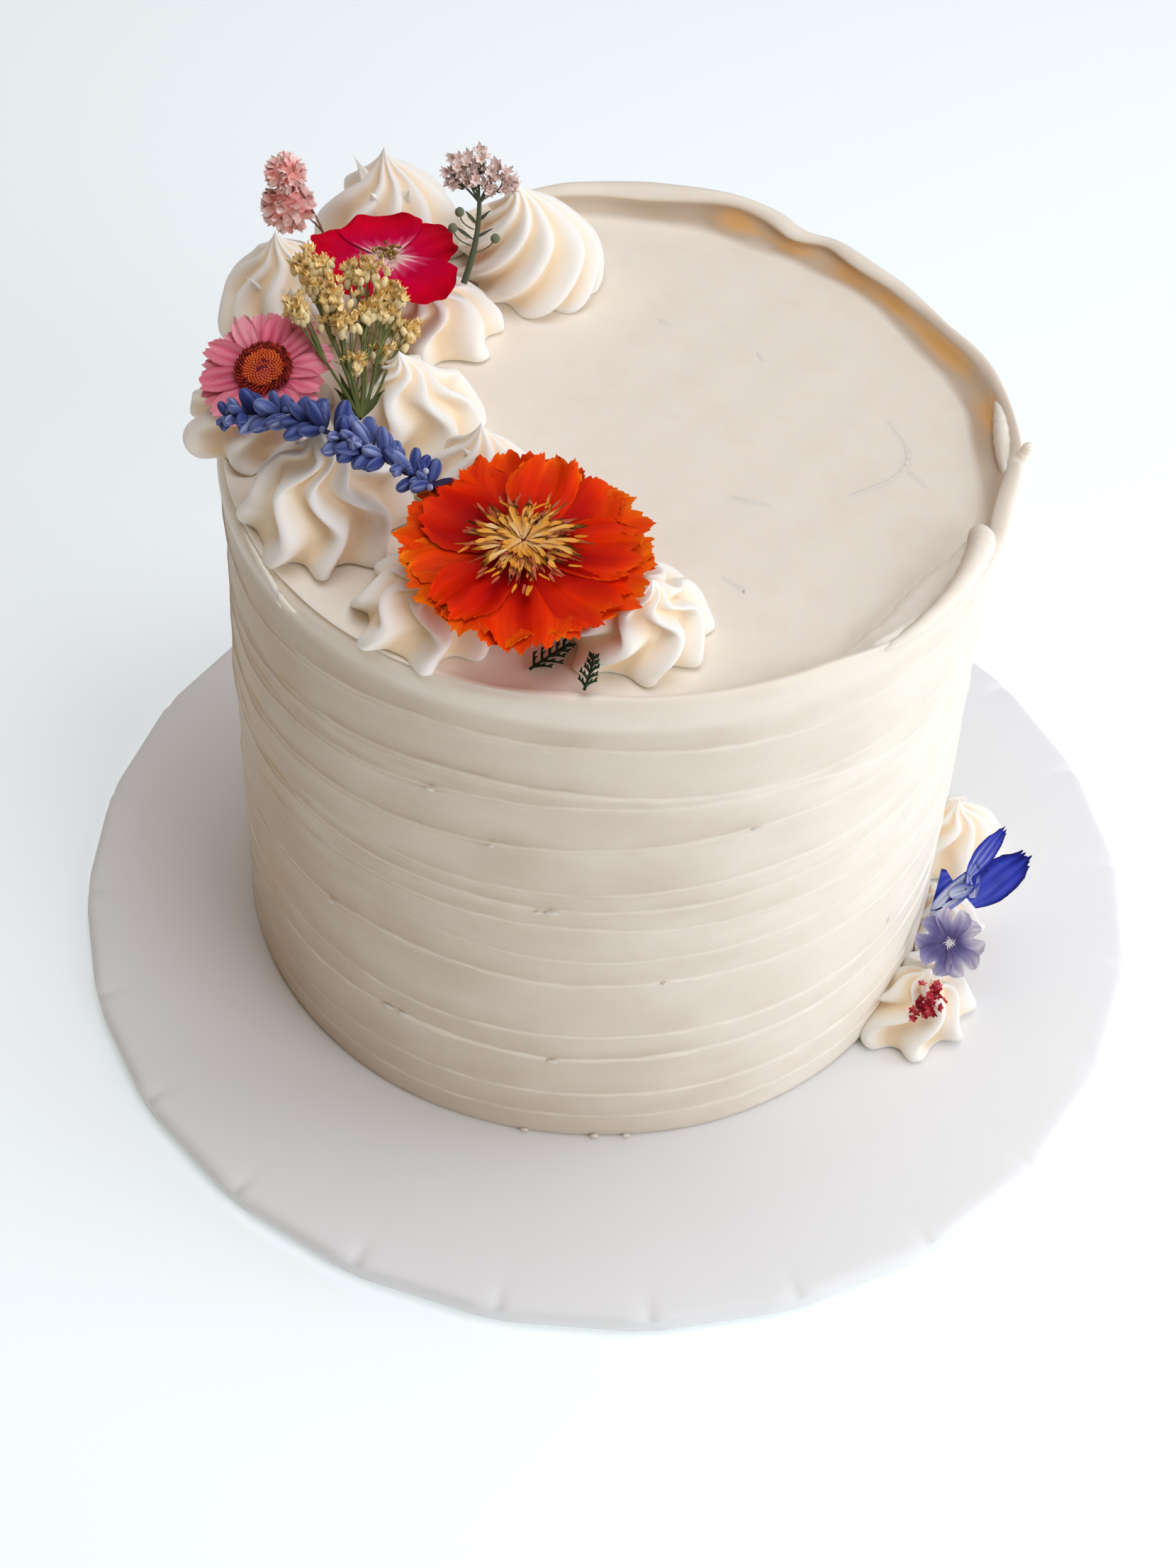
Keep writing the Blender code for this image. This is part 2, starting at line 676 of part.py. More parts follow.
def make_blue_spike(collection):
    """A flower spike laid over the front swirls, with buds on both sides of its stem."""
    points = [Vector(point) * MM for point in SPIKE_ROUTE]
    obj = stem("blue_spike", points, 0.8 * MM, collection)
    buds = []
    for number in range(SPIKE_BUDS):
        place = number / (SPIKE_BUDS - 1) * (len(points) - 1.001)
        index = int(place)
        spot = points[index].lerp(points[index + 1], place - index)
        along = (points[index + 1] - points[index]).normalized()
        side = along.cross(UP).normalized() * (1.0 if number % 2 else -1.0)
        tilt = (side - along * 0.5 + UP * 0.12).normalized()
        buds.append(ball(1.6 * MM, spot + tilt * 2.4 * MM, 1.8, tilt, 1))
    fuse(obj, buds)
    return obj


def make_fern(name, place, turn, collection):
    obj = blade(name, FERN_LENGTH, FERN_WIDTH, 0.4 * MM, collection)
    obj.data.transform(Matrix.Rotation(math.radians(turn), 4, "Z"))
    tilted(obj, place, 0, 0)
    return obj


def build():
    clear_scene()
    parts = new_collection("iced cake")
    cutters = new_collection("cutters")
    frame = bpy.data.objects.new("cake_frame", None)
    frame.location = CAKE_OFFSET
    parts.objects.link(frame)
    make_board(parts)
    cake = make_cake(parts, frame)

    icing = make_material("piped icing", PIPED_ICING, 0.5)
    foot = CAKE_TOP + GAP
    swirls = [make_swirl(f"swirl_{i + 1:02d}", row, foot, parts) for i, row in enumerate(SWIRLS)]
    part_neighbours(swirls, SWIRLS)
    base = [make_swirl(f"base_swirl_{i + 1:02d}", row, GAP, parts) for i, row in enumerate(BASE_SWIRLS)]
    part_neighbours(base, BASE_SWIRLS)
    for obj in base:
        cut_round_side(obj, cutters)
    for obj in swirls + base:
        dress(obj, icing.copy(), parts, frame)
    flowers = []

    def finish(obj, colour):
        dress(obj, make_material(obj.name, colour, PETAL_ROUGHNESS), parts, frame)
        flowers.append(obj)

    def lay(obj, supports, away, colour):
        rest(obj, supports, away, FLOWER_CLEARANCE)
        finish(obj, colour)

    def lean(obj, supports, colour):
        settle(obj, supports, BASE_FRONT, OUT_FROM_SIDE, FLOWER_CLEARANCE)
        finish(obj, colour)

    laid = swirls + [cake]
    lay(make_orange_flower(parts), laid, ABOVE_FRONT, ORANGE)
    lay(make_red_flower(parts), laid, ABOVE_FRONT, RED)
    lay(make_daisy(parts), laid, ABOVE_FRONT, PINK)
    yellow = make_sprig("yellow_sprig", YELLOW_ROOT, YELLOW_TIPS, 1.0, 1, parts)
    lay(yellow, laid + flowers, ABOVE_FRONT, YELLOW)
    lay(make_blue_spike(parts), laid + flowers, ABOVE_FRONT, SLATE_BLUE)
    white = make_sprig("white_sprig", WHITE_ROOT, WHITE_TIPS, 0.8, 1, parts)
    lay(white, laid + flowers, ABOVE_FRONT, PALE_PINK)
    pink = make_sprig("pink_blossoms", PINK_ROOT, PINK_TIPS, 0.85, 2, parts)
    lay(pink, laid + flowers, UP, SALMON)
    for number, (place, turn) in enumerate(FERN_TIPS):
        lay(make_fern(f"fern_{number + 1}", place, turn, parts), laid + flowers, ABOVE_FRONT, DARK_GREEN)

    at_base = base + [cake]
    lean(make_blue_petals(parts), at_base, DEEP_BLUE)
    lean(make_violet_flower(parts), at_base + flowers, VIOLET)
    lay(make_red_bits(parts), at_base + flowers, BASE_FRONT, CRIMSON)


build()
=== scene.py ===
"""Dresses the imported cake: combed ivory icing, piped swirls, pressed flowers and a wrapped card board."""
import math

import bpy
import numpy as np
from mathutils import Matrix, Vector


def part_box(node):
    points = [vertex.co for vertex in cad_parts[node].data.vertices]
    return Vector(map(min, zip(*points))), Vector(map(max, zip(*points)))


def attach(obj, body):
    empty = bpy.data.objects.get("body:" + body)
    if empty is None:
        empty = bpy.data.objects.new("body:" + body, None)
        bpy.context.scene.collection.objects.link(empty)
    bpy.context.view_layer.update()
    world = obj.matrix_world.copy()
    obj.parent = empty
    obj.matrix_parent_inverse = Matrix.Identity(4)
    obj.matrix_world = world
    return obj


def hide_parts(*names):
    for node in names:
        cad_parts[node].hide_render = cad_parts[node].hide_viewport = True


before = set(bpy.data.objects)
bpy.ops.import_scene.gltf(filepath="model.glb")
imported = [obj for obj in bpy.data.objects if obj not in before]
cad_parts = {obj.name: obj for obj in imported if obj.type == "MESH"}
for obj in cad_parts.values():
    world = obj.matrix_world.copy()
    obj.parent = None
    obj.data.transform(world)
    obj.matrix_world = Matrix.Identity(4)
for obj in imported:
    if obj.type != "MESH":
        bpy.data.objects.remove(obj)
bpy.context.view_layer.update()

MM = 0.001
TAU = 2.0 * math.pi
GOLDEN_ANGLE = 2.39996

# The cake stands on the board; angles round it start at -Y and grow towards +X
BOARD_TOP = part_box("board")[1].z
CAKE_AXIS = Vector((-4.7 * MM, 3.9 * MM, BOARD_TOP))
CAKE_TOP = 136.5
CAKE_FOOT = 0.3
CAKE_COLUMNS = 372
FOOT_RADIUS = 82.4
TOP_RADIUS = 83.1

# Viewpoint, measured from the cake's axis at board level
VIEWPOINT = Vector((0.0, -450.8, 508.9)) * MM
VIEW_PITCH = math.radians(46.826)
VIEW_YAW = math.radians(-0.1334)
VIEW_ROLL = math.radians(3.1678)
FOCAL_LENGTH = 63.41

# Colours
IVORY = (0.89, 0.81, 0.69)
CREAM = (0.91, 0.84, 0.73)
# Painted shade: the colour the combed icing's tint turns to on the shaded left of the side and in the hollow
# above each comb lip
SHADE = (0.40, 0.25, 0.12)
# Painted golden shade in the rim's inner wall, the flap's crease and the deepest tints of the side
GOLDEN_SHADE_COLOUR = (0.73, 0.41, 0.14)
# Painted highlight colour of the comb lips and of the scratches on the top
LIT = (0.95, 0.89, 0.78)
PIPED = (0.955, 0.905, 0.815)
PIPED_PALE = (0.97, 0.93, 0.87)
# Painted golden shade in the valleys of the piped swirls
PIPED_VALLEY_SHADE = (0.95, 0.66, 0.32)
# Painted shade in the small pits of the combed icing
PIT_SHADE = (0.80, 0.72, 0.62)
WHITE = (1.0, 1.0, 1.0)

# Tints of the icing at which its painted shade, its painted golden shade and its painted highlight are full
SHADED = 0.62
GOLDEN_SHADE_TINT = 0.90
FULLY_LIT = -0.35
# Distances below the flat top between which the pits fade out
PITS_END = (12.0, 8.0)


def smoothstep(low, high, value):
    share = np.clip((value - low) / (high - low), 0.0, 1.0)
    return share * share * (3.0 - 2.0 * share)


def waves(seed, count, across, along, angle, height):
    """Smooth noise that closes round the cake: a sum of waves in angle and height, about 1 high."""
    draw = np.random.default_rng(seed)
    total = np.zeros(np.broadcast(angle, height).shape)
    for _ in range(count):
        turns = draw.integers(1, across + 1)
        rise = draw.normal() * along
        total = total + np.cos(turns * angle + rise * height + draw.uniform(0.0, TAU))
    return total / math.sqrt(count / 2.0)


def grid_faces(rows, columns, closed):
    """Quads of a grid whose columns may close into a ring."""
    last = columns if closed else columns - 1
    row, column = np.meshgrid(np.arange(rows - 1), np.arange(last), indexing="ij")
    after = (column + 1) % columns
    first = row * columns
    quads = np.stack([first + column, first + after, first + columns + after, first + columns + column], -1)
    return quads.reshape(-1, 4)


def closed_grid(rows, columns, first_pole, last_pole):
    """Faces of a ring-shaped grid with a fan from its first and its last row to a point each."""
    faces = grid_faces(rows, columns, True).tolist()
    end = (rows - 1) * columns
    for column in range(columns):
        after = (column + 1) % columns
        faces.append([after, column, first_pole])
        faces.append([end + column, end + after, last_pole])
    return faces


def mesh_piece(name, points, faces, material, tint=None, smooth=True):
    """A mesh object; tint is an optional value for each point, read by the material as an attribute."""
    mesh = bpy.data.meshes.new(name)
    mesh.from_pydata(np.asarray(points, float).tolist(), [], [list(map(int, face)) for face in faces])
    if tint is not None:
        layer = mesh.attributes.new("tint", "FLOAT", "POINT")
        layer.data.foreach_set("value", np.asarray(tint, np.float32))
    mesh.update()
    if smooth:
        mesh.shade_smooth()
    obj = bpy.data.objects.new(name, mesh)
    bpy.context.scene.collection.objects.link(obj)
    mesh.materials.append(material)
    return obj


def finish_piece(obj, slot, *nodes):
    """The piece rides on the cake's one body and stands for nodes, whose imported pieces it hides; slot is
    not used.
    """
    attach(obj, "root")
    if nodes:
        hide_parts(*nodes)
    return obj


def round_points(radius, angle, height):
    return np.stack([radius * np.sin(angle), -radius * np.cos(angle), height + 0.0 * angle], -1)


def new_material(name, roughness):
    material = bpy.data.materials.new(name)
    material.use_nodes = True
    shader = material.node_tree.nodes["Principled BSDF"]
    shader.inputs["Roughness"].default_value = roughness
    return material, material.node_tree.nodes, material.node_tree.links, shader


def noise(nodes, links, scale, detail, source):
    texture = nodes.new("ShaderNodeTexNoise")
    texture.inputs["Scale"].default_value = scale
    texture.inputs["Detail"].default_value = detail
    links.new(source, texture.inputs["Vector"])
    return texture.outputs["Fac"]


def ramp(nodes, links, source, stops):
    """A colour ramp through (place, colour) stops."""
    node = nodes.new("ShaderNodeValToRGB")
    elements = node.color_ramp.elements
    while len(elements) < len(stops):
        elements.new(0.5)
    for element, (place, colour) in zip(elements, stops):
        element.position = place
        element.color = (*colour, 1.0)
    links.new(source, node.inputs["Fac"])
    return node.outputs["Color"]


def mix(nodes, links, amount, first, second, blend="MIX"):
    """Mixes two colours; amount may be a number or a socket, and either colour may be a socket."""
    node = nodes.new("ShaderNodeMix")
    node.data_type = "RGBA"
    node.blend_type = blend
    for index, value in ((0, amount), (6, first), (7, second)):
        if isinstance(value, bpy.types.NodeSocket):
            links.new(value, node.inputs[index])
        elif index:
            node.inputs[index].default_value = (*value, 1.0)
        else:
            node.inputs[index].default_value = value
    return node.outputs[2]


def map_range(nodes, links, source, start, end, low=0.0, high=1.0):
    """Carries start..end over to low..high and holds still beyond them."""
    node = nodes.new("ShaderNodeMapRange")
    for name, value in (("From Min", start), ("From Max", end), ("To Min", low), ("To Max", high)):
        node.inputs[name].default_value = value
    links.new(source, node.inputs["Value"])
    return node.outputs["Result"]


def combine(nodes, links, operation, first, second):
    """Sum, difference or product of a socket and a socket or a number."""
    node = nodes.new("ShaderNodeMath")
    node.operation = operation
    links.new(first, node.inputs[0])
    if isinstance(second, bpy.types.NodeSocket):
        links.new(second, node.inputs[1])
    else:
        node.inputs[1].default_value = second
    return node.outputs["Value"]


def stretched(nodes, links, source, scale):
    node = nodes.new("ShaderNodeMapping")
    node.inputs["Scale"].default_value = scale
    links.new(source, node.inputs["Vector"])
    return node.outputs["Vector"]


def tint_of(nodes):
    node = nodes.new("ShaderNodeAttribute")
    node.attribute_name = "tint"
    return node.outputs["Fac"]


def object_place(nodes):
    return nodes.new("ShaderNodeTexCoord").outputs["Object"]


def bump(nodes, links, source, strength, distance, shader, before=None):
    node = nodes.new("ShaderNodeBump")
    node.inputs["Strength"].default_value = strength
    node.inputs["Distance"].default_value = distance
    links.new(source, node.inputs["Height"])
    if before is not None:
        links.new(before, node.inputs["Normal"])
    links.new(node.outputs["Normal"], shader.inputs["Normal"])
    return node.outputs["Normal"]


def icing_material(name, colour, pale, shade, warm, weight, scatter, combed):
    """Buttercream with a painted golden shade in its hollows and a painted highlight on its ridges; combed
    icing has streaks, and pits darkened by painted shade.
    """
    material, nodes, links, shader = new_material(name, 0.46)
    shader.inputs["Subsurface Weight"].default_value = weight
    shader.inputs["Subsurface Radius"].default_value = (1.0, 0.74, 0.52)
    shader.inputs["Subsurface Scale"].default_value = scatter
    shader.inputs["Specular IOR Level"].default_value = 0.3
    place = object_place(nodes)
    cloud = noise(nodes, links, 26.0, 4.0, place)
    base = mix(nodes, links, cloud, colour, pale)
    # The tint attribute is painted light: positive values paint shade and golden shade, negative ones a
    # highlight
    painted_light_amount = tint_of(nodes)
    painted_shade_colour = ramp(nodes, links, painted_light_amount, ((SHADED, shade), (GOLDEN_SHADE_TINT, warm)))
    base = mix(nodes, links, painted_light_amount, base, painted_shade_colour)
    base = mix(nodes, links, map_range(nodes, links, painted_light_amount, 0.0, FULLY_LIT), base, LIT)
    grain = noise(nodes, links, 900.0, 6.0, place)
    soft = bump(nodes, links, grain, 0.10, 0.25 * MM, shader)
    if combed:
        streak = noise(nodes, links, 80.0, 8.0, stretched(nodes, links, place, (1.0, 1.0, 6.0)))
        soft = bump(nodes, links, streak, 0.30, 0.5 * MM, shader, soft)
        dull = ramp(nodes, links, streak, ((0.34, (0.985, 0.98, 0.97)), (0.60, WHITE)))
        base = mix(nodes, links, 1.0, base, dull, "MULTIPLY")
        patch = noise(nodes, links, 150.0, 5.0, place)
        blot = ramp(nodes, links, patch, ((0.30, (0.98, 0.97, 0.955)), (0.50, WHITE)))
        base = mix(nodes, links, 1.0, base, blot, "MULTIPLY")
        whole = unpitted(nodes, links, place)
        bump(nodes, links, whole, 0.6, 0.4 * MM, shader, soft)
        # Painted shade darkens the small pits
        painted_pit_shade = mix(nodes, links, whole, PIT_SHADE, WHITE)
        base = mix(nodes, links, 1.0, base, painted_pit_shade, "MULTIPLY")
    links.new(base, shader.inputs["Base Color"])
    return material


def unpitted(nodes, links, place):
    """0 in the small pits of the icing and 1 between them; the rim and the top have none."""
    cells = nodes.new("ShaderNodeTexVoronoi")
    cells.inputs["Scale"].default_value = 120.0
    links.new(place, cells.inputs["Vector"])
    patch = noise(nodes, links, 60.0, 3.0, place)
    size = map_range(nodes, links, patch, 0.54, 0.80, -0.05, 0.09)
    outside = combine(nodes, links, "SUBTRACT", cells.outputs["Distance"], size)
    split = nodes.new("ShaderNodeSeparateXYZ")
    links.new(place, split.inputs["Vector"])
    low, high = (CAKE_AXIS.z + (CAKE_TOP - below) * MM for below in PITS_END)
    near_top = map_range(nodes, links, split.outputs["Z"], low, high)
    return map_range(nodes, links, combine(nodes, links, "ADD", outside, near_top), 0.0, 0.06)


def card_material():
    """White wrapping paper with a faint pressed weave."""
    material, nodes, links, shader = new_material("white_card", 0.55)
    place = object_place(nodes)
    cloud = noise(nodes, links, 18.0, 3.0, place)
    white = mix(nodes, links, cloud, (0.85, 0.855, 0.85), (0.89, 0.895, 0.89))
    links.new(white, shader.inputs["Base Color"])
    soft = bump(nodes, links, noise(nodes, links, 14.0, 3.0, place), 0.25, 1.2 * MM, shader)
    bump(nodes, links, noise(nodes, links, 500.0, 5.0, place), 0.12, 0.12 * MM, shader, soft)
    return material


# Icing on the side: each comb ridge as (angle, height, strength) marks, in degrees and millimetres
RIDGES = (
    ((-120, 3, 0.2), (-60, 7, 0.3), (0, 7.5, 0.25), (60, 8, 0.3), (180, 8, 0.4)),
    ((-110, 16, 0.5), (-40, 15, 0.2), (10, 15.5, 0.4), (30, 16, 0.35), (90, 17, 0.5), (180, 16, 0.6)),
    ((-120, 28, 0.7), (-75, 27.5, 0.3), (-38, 28, 0.7), (-30, 29, 1.0), (-15, 28.5, 0.8), (-5, 27.5, 0.9),
     (5, 28, 0.5), (15, 28.5, 0.8), (25, 29, 0.5), (60, 31, 0.3), (110, 32, 0.7), (180, 30, 0.6)),
    ((-120, 37, 0.4), (-30, 35.6, 0.5), (0, 36, 0.55), (40, 37, 0.3), (90, 41, 0.5), (180, 39, 0.5)),
    ((-120, 50, 0.8), (-75, 51, 0.6), (-42, 52.5, 0.8), (-35, 53.6, 0.9), (-20, 54.5, 0.8), (-5, 54, 0.5),
     (12, 54.6, 0.5), (40, 54, 0.15), (90, 53, 0.6), (140, 54, 0.8), (180, 52, 0.8)),
    ((-120, 64, 0.5), (-40, 63, 0.1), (0, 62, 0.2), (60, 64, 0.2), (110, 66, 0.6), (180, 66, 0.6)),
    ((-120, 70, 0.4), (-60, 69, 0.1), (-30, 71, 0.6), (-15, 72, 0.8), (0, 72.6, 0.7), (10, 72, 0.2),
     (60, 72, 0.1), (120, 74, 0.6), (180, 72, 0.5)),
    ((-120, 79, 0.7), (-62, 78.2, 0.9), (-45, 77, 0.8), (-30, 76.4, 0.8), (-20, 77, 0.9), (-7, 77.5, 1.0),
     (-3, 77.8, 0.5), (18, 79, 0.6), (30, 80, 0.2), (90, 82, 0.6), (150, 82, 0.8), (180, 81, 0.7)),
    ((-120, 87, 0.4), (-50, 80.9, 0.3), (-20, 81.4, 0.4), (0, 83, 0.35), (15, 84.6, 0.7), (28, 86, 0.6),
     (60, 88, 0.2), (110, 90, 0.7), (180, 89, 0.5)),
    ((-120, 92, 0.8), (-60, 91, 0.8), (-30, 92.5, 1.0), (-15, 94.5, 0.9), (0, 96.5, 0.9), (15, 98.5, 0.8),
     (23, 99.5, 0.9), (27, 100, 0.2), (60, 101, 0.2), (110, 99, 0.8), (180, 97, 0.8)),
    ((-120, 101, 0.6), (-60, 102.5, 0.8), (-30, 105, 0.9), (-23, 106, 0.9), (-18, 107.3, 0.4), (0, 109, 0.5),
     (30, 109, 0.2), (50, 104.5, 0.5), (80, 106, 0.3), (120, 108, 0.7), (180, 106, 0.6)),
    ((-120, 112, 0.8), (-75, 106.5, 0.6), (-53, 109.5, 0.8), (-35, 111, 0.9), (-20, 113, 1.0),
     (0, 112.5, 0.9),
     (15, 111, 0.6), (30, 110.5, 0.25), (70, 112, 0.3), (120, 115, 0.8), (180, 114, 0.7)),
    ((-120, 122, 0.8), (-60, 121, 0.6), (-25, 125.4, 1.0), (0, 125.6, 0.9), (20, 124.4, 0.5), (30, 124, 0.15),
     (50, 127, 0.35), (90, 126, 0.4), (130, 124, 0.8), (180, 124, 0.7)),
)
RIDGE_RISE = 0.34
RIDGE_SWEEP = 0.30
RIDGE_CREST = 0.20
STEP_WIDTH = 0.14
ROWS_ABOVE = (0.0, 0.14, 0.30, 0.50, 0.80, 1.3, 2.3)
ROWS_BELOW = (1.7, 1.0, 0.62, 0.38, 0.20, 0.10)
ROWS_BETWEEN = 2
SHOULDER = 133.0
# Waves of the side: depth, seed, how many are summed, most turns round the cake, spread of their rise
SIDE_WAVES = ((0.28, 7, 14, 7, 0.05), (0.06, 8, 20, 14, 0.9), (0.03, 9, 30, 50, 2.5))
# Painted shade of the side at each angle, carried by its tint; it is deepest on the left, which faces away
# from the lights
SIDE_SHADE = ((-180, 0.14), (-120, 0.30), (-85, 0.52), (-60, 0.66), (-35, 0.39), (0, 0.22), (30, 0.08),
              (60, 0.03),
              (120, 0.03), (150, 0.08))

# Rim: angle, height over the flat top, radii of the flat, of the lip's inner edge and of its outer edge, and
# the strength of the painted golden shade on the lip's inner wall
RIM = (
    (-177, 6.4, 77.6, 78.0, 83.9, 0.40), (-170, 6.0, 78.2, 78.8, 83.9, 0.35),
    (-158, 3.0, 79.0, 80.5, 83.1, 0.2),
    (-150, 0.7, 79.0, 81.0, 82.4, 0.0), (-60, 0.5, 79.0, 81.0, 82.3, 0.0), (-30, 0.5, 79.0, 81.3, 82.7, 0.0),
    (-16, 1.6, 79.0, 80.8, 83.1, 0.0), (-6, 3.0, 79.2, 80.6, 83.3, 0.05), (5, 3.3, 79.6, 80.8, 83.3, 0.05),
    (20, 3.7, 79.6, 80.8, 83.3, 0.05), (33, 3.9, 79.8, 81.0, 83.9, 0.05), (42, 3.4, 81.4, 82.6, 84.8, 0.05),
    (50, 3.2, 81.8, 82.9, 85.6, 0.1), (60, 3.4, 81.6, 83.0, 86.2, 0.2), (67, 3.8, 80.6, 82.4, 86.5, 0.4),
    (72, 4.0, 79.8, 81.6, 86.0, 0.5), (76, 4.1, 79.3, 81.2, 85.4, 0.5), (80, 4.3, 78.3, 81.2, 85.7, 0.55),
    (84, 4.4, 77.3, 82.4, 86.1, 0.6), (88, 4.5, 76.7, 83.3, 86.0, 0.75), (94, 4.4, 76.6, 83.2, 85.4, 0.9),
    (100, 4.4, 77.0, 82.9, 85.2, 1.0), (106, 4.4, 76.4, 82.0, 84.7, 1.0), (112, 4.3, 75.2, 80.7, 83.1, 1.0),
    (118, 4.2, 74.3, 79.4, 81.9, 1.0), (124, 4.2, 74.7, 78.9, 82.2, 1.0), (130, 4.4, 75.3, 78.4, 82.2, 1.0),
    (135, 4.6, 75.2, 77.3, 81.8, 1.0), (139, 4.8, 74.8, 77.4, 82.2, 1.0), (143, 5.0, 74.3, 78.2, 82.7, 1.0),
    (145.5, 4.9, 74.6, 79.0, 82.4, 0.95), (148, 4.8, 75.0, 77.4, 81.1, 0.9),
    (151, 5.1, 75.1, 76.4, 81.5, 0.9),
    (154, 5.8, 75.0, 77.8, 83.2, 0.9), (158, 6.1, 74.8, 79.4, 83.4, 0.9), (162, 6.3, 75.4, 79.8, 83.4, 0.8),
    (166, 6.4, 76.1, 78.7, 83.4, 0.7), (171, 6.5, 75.7, 77.5, 83.5, 0.6), (177, 6.5, 76.6, 77.2, 84.2, 0.5),
)


def marks(table, column, angle):
    """Reads one column of a table of marks at every angle, smoothly and closed at the back."""
    degrees = np.degrees(angle)
    places = np.array([row[0] for row in table], float)
    values = np.array([row[column] for row in table], float)
    places = np.concatenate([places[-1:] - 360.0, places, places[:1] + 360.0])
    values = np.concatenate([values[-1:], values, values[:1]])
    shift = np.linspace(-1.5, 1.5, 5)
    return np.mean([np.interp(degrees + step, places, values) for step in shift], axis=0)


def side_relief(angle, height, edges, strengths):
    """Bands that swell to a thin lip at each ridge and drop behind it; also the painted light of the side:
    painted shade deepest on the left and in the hollow above each lip, and a painted highlight along each
    lip.
    """
    relief = np.zeros(height.shape)
    # Painted shade of the side by angle, deepest on the left
    painted_light_tint = marks(SIDE_SHADE, 1, angle)
    for number, (edge, strength) in enumerate(zip(edges, strengths)):
        away = height - edge
        patchy = 1.0 + 0.22 * waves(40 + number, 16, 60, 0.0, angle, height * 0.0)
        uneven = np.clip(strength * patchy, 0.0, 1.4)
        above = 1.0 / (1.0 + np.exp(-np.clip(away / STEP_WIDTH, -60.0, 60.0)))
        over, under = np.clip(away, 0.0, 60.0), np.clip(away, -60.0, 0.0)
        below = RIDGE_RISE * np.exp(under / 6.5) + RIDGE_CREST * np.exp(-((under + 0.35) / 0.55) ** 2)
        drop = -RIDGE_SWEEP * np.exp(-over / 3.0)
        relief += uneven * ((1.0 - above) * below + above * drop)
        # Painted highlight along each lip and painted shade in the hollow above it; the highlight makes the
        # tint negative
        lip_highlight = 0.85 * np.exp(-((away - 0.16) / 0.32) ** 2)
        painted_light_tint += uneven * (0.20 * above * np.exp(-over / 2.6) - lip_highlight)
    for depth, seed, count, across, along in SIDE_WAVES:
        relief += depth * waves(seed, count, across, along, angle, height)
    painted_light_tint += 0.03 * waves(10, 24, 20, 0.5, angle, height)
    return relief, np.clip(painted_light_tint, -0.5, 1.0)


def catmull(points, steps):
    """A smooth curve through rows of control arrays, each (n, ...), with steps between neighbours."""
    rows = []
    padded = [2.0 * points[0] - points[1], *points, 2.0 * points[-1] - points[-2]]
    for before, start, end, after in zip(padded, padded[1:], padded[2:], padded[3:]):
        for step in range(steps):
            t = step / steps
            rows.append(0.5 * (2.0 * start + (end - before) * t
                               + (2.0 * before - 5.0 * start + 4.0 * end - after) * t * t
                               + (3.0 * start - before - 3.0 * end + after) * t ** 3))
    rows.append(points[-1])
    return rows


def side_rows(angle):
    """Rows of the side from the foot to the shoulder, close together at every ridge."""
    edges = [marks(table, 1, angle) for table in RIDGES]
    strengths = [marks(table, 2, angle) for table in RIDGES]
    edges = [edge + 0.07 * waves(60 + number, 18, 60, 0.0, angle, 0.0) for number, edge in enumerate(edges)]
    bounds = [np.full(angle.shape, CAKE_FOOT), *edges, np.full(angle.shape, SHOULDER)]
    heights = []
    for low, high in zip(bounds, bounds[1:]):
        squeeze = np.minimum(1.0, (high - low) / 5.0)
        first, last = low + ROWS_ABOVE[-1] * squeeze, high - ROWS_BELOW[0] * squeeze
        heights.extend(low + step * squeeze for step in ROWS_ABOVE)
        shares = ((row + 1.0) / (ROWS_BETWEEN + 1.0) for row in range(ROWS_BETWEEN))
        heights.extend(first + (last - first) * share for share in shares)
        heights.extend(high - step * squeeze for step in ROWS_BELOW)
    heights.append(bounds[-1])
    height = np.array(heights)
    turn = np.broadcast_to(angle, height.shape)
    fade = 1.0 - smoothstep(SHOULDER - 3.0, SHOULDER, height)
    relief, painted_light_tint = side_relief(turn, height, edges, strengths)
    foot = smoothstep(0.0, 2.5, height)
    radius = FOOT_RADIUS + (TOP_RADIUS - FOOT_RADIUS) * height / CAKE_TOP
    radius = radius + relief * (0.3 + 0.7 * fade) - 0.5 * (1.0 - foot)
    return radius, height, painted_light_tint * fade


def rim_rows(angle, start_radius):
    """Rows over the rim from the shoulder to the edge of the flat top."""
    lift = marks(RIM, 1, angle) * (1.0 + 0.05 * waves(21, 8, 14, 0.0, angle, 0.0))
    inner = marks(RIM, 2, angle) + 0.2 * waves(22, 8, 16, 0.0, angle, 0.0)
    ledge = marks(RIM, 3, angle) + 0.12 * waves(24, 12, 40, 0.0, angle, 0.0)
    outer = marks(RIM, 4, angle) + 0.12 * waves(23, 10, 24, 0.0, angle, 0.0)
    top = np.full(angle.shape, CAKE_TOP)
    low = 1.0 - smoothstep(0.5, 3.0, lift)
    under = smoothstep(130.0, 145.0, np.abs(np.degrees(angle))) * smoothstep(3.0, 5.0, lift)
    points = [
        (start_radius, np.full(angle.shape, SHOULDER)),
        (0.5 * (start_radius + outer) + 0.1, top - 0.6 - 0.9 * low),
        (outer - 0.4 * low, top + 0.42 * lift - 0.7 * low),
        (outer - 0.55 - 0.7 * low, top + 0.86 * lift - 0.2 * low),
        (0.55 * outer + 0.45 * ledge, top + lift),
        (ledge, top + 0.84 * lift - 0.05),
        (ledge - 0.22 * (ledge - inner) + 0.9 * under, top + 0.60 * lift - 0.05),
        (0.5 * (inner + ledge) + 0.3 * under, top + 0.30 * lift),
        (inner, top + 0.07 * lift),
        (inner - 2.0, top + 0.02),
    ]
    radius = catmull([point[0] for point in points], 4)
    height = catmull([point[1] for point in points], 4)
    return np.array(radius[1:]), np.array(height[1:])


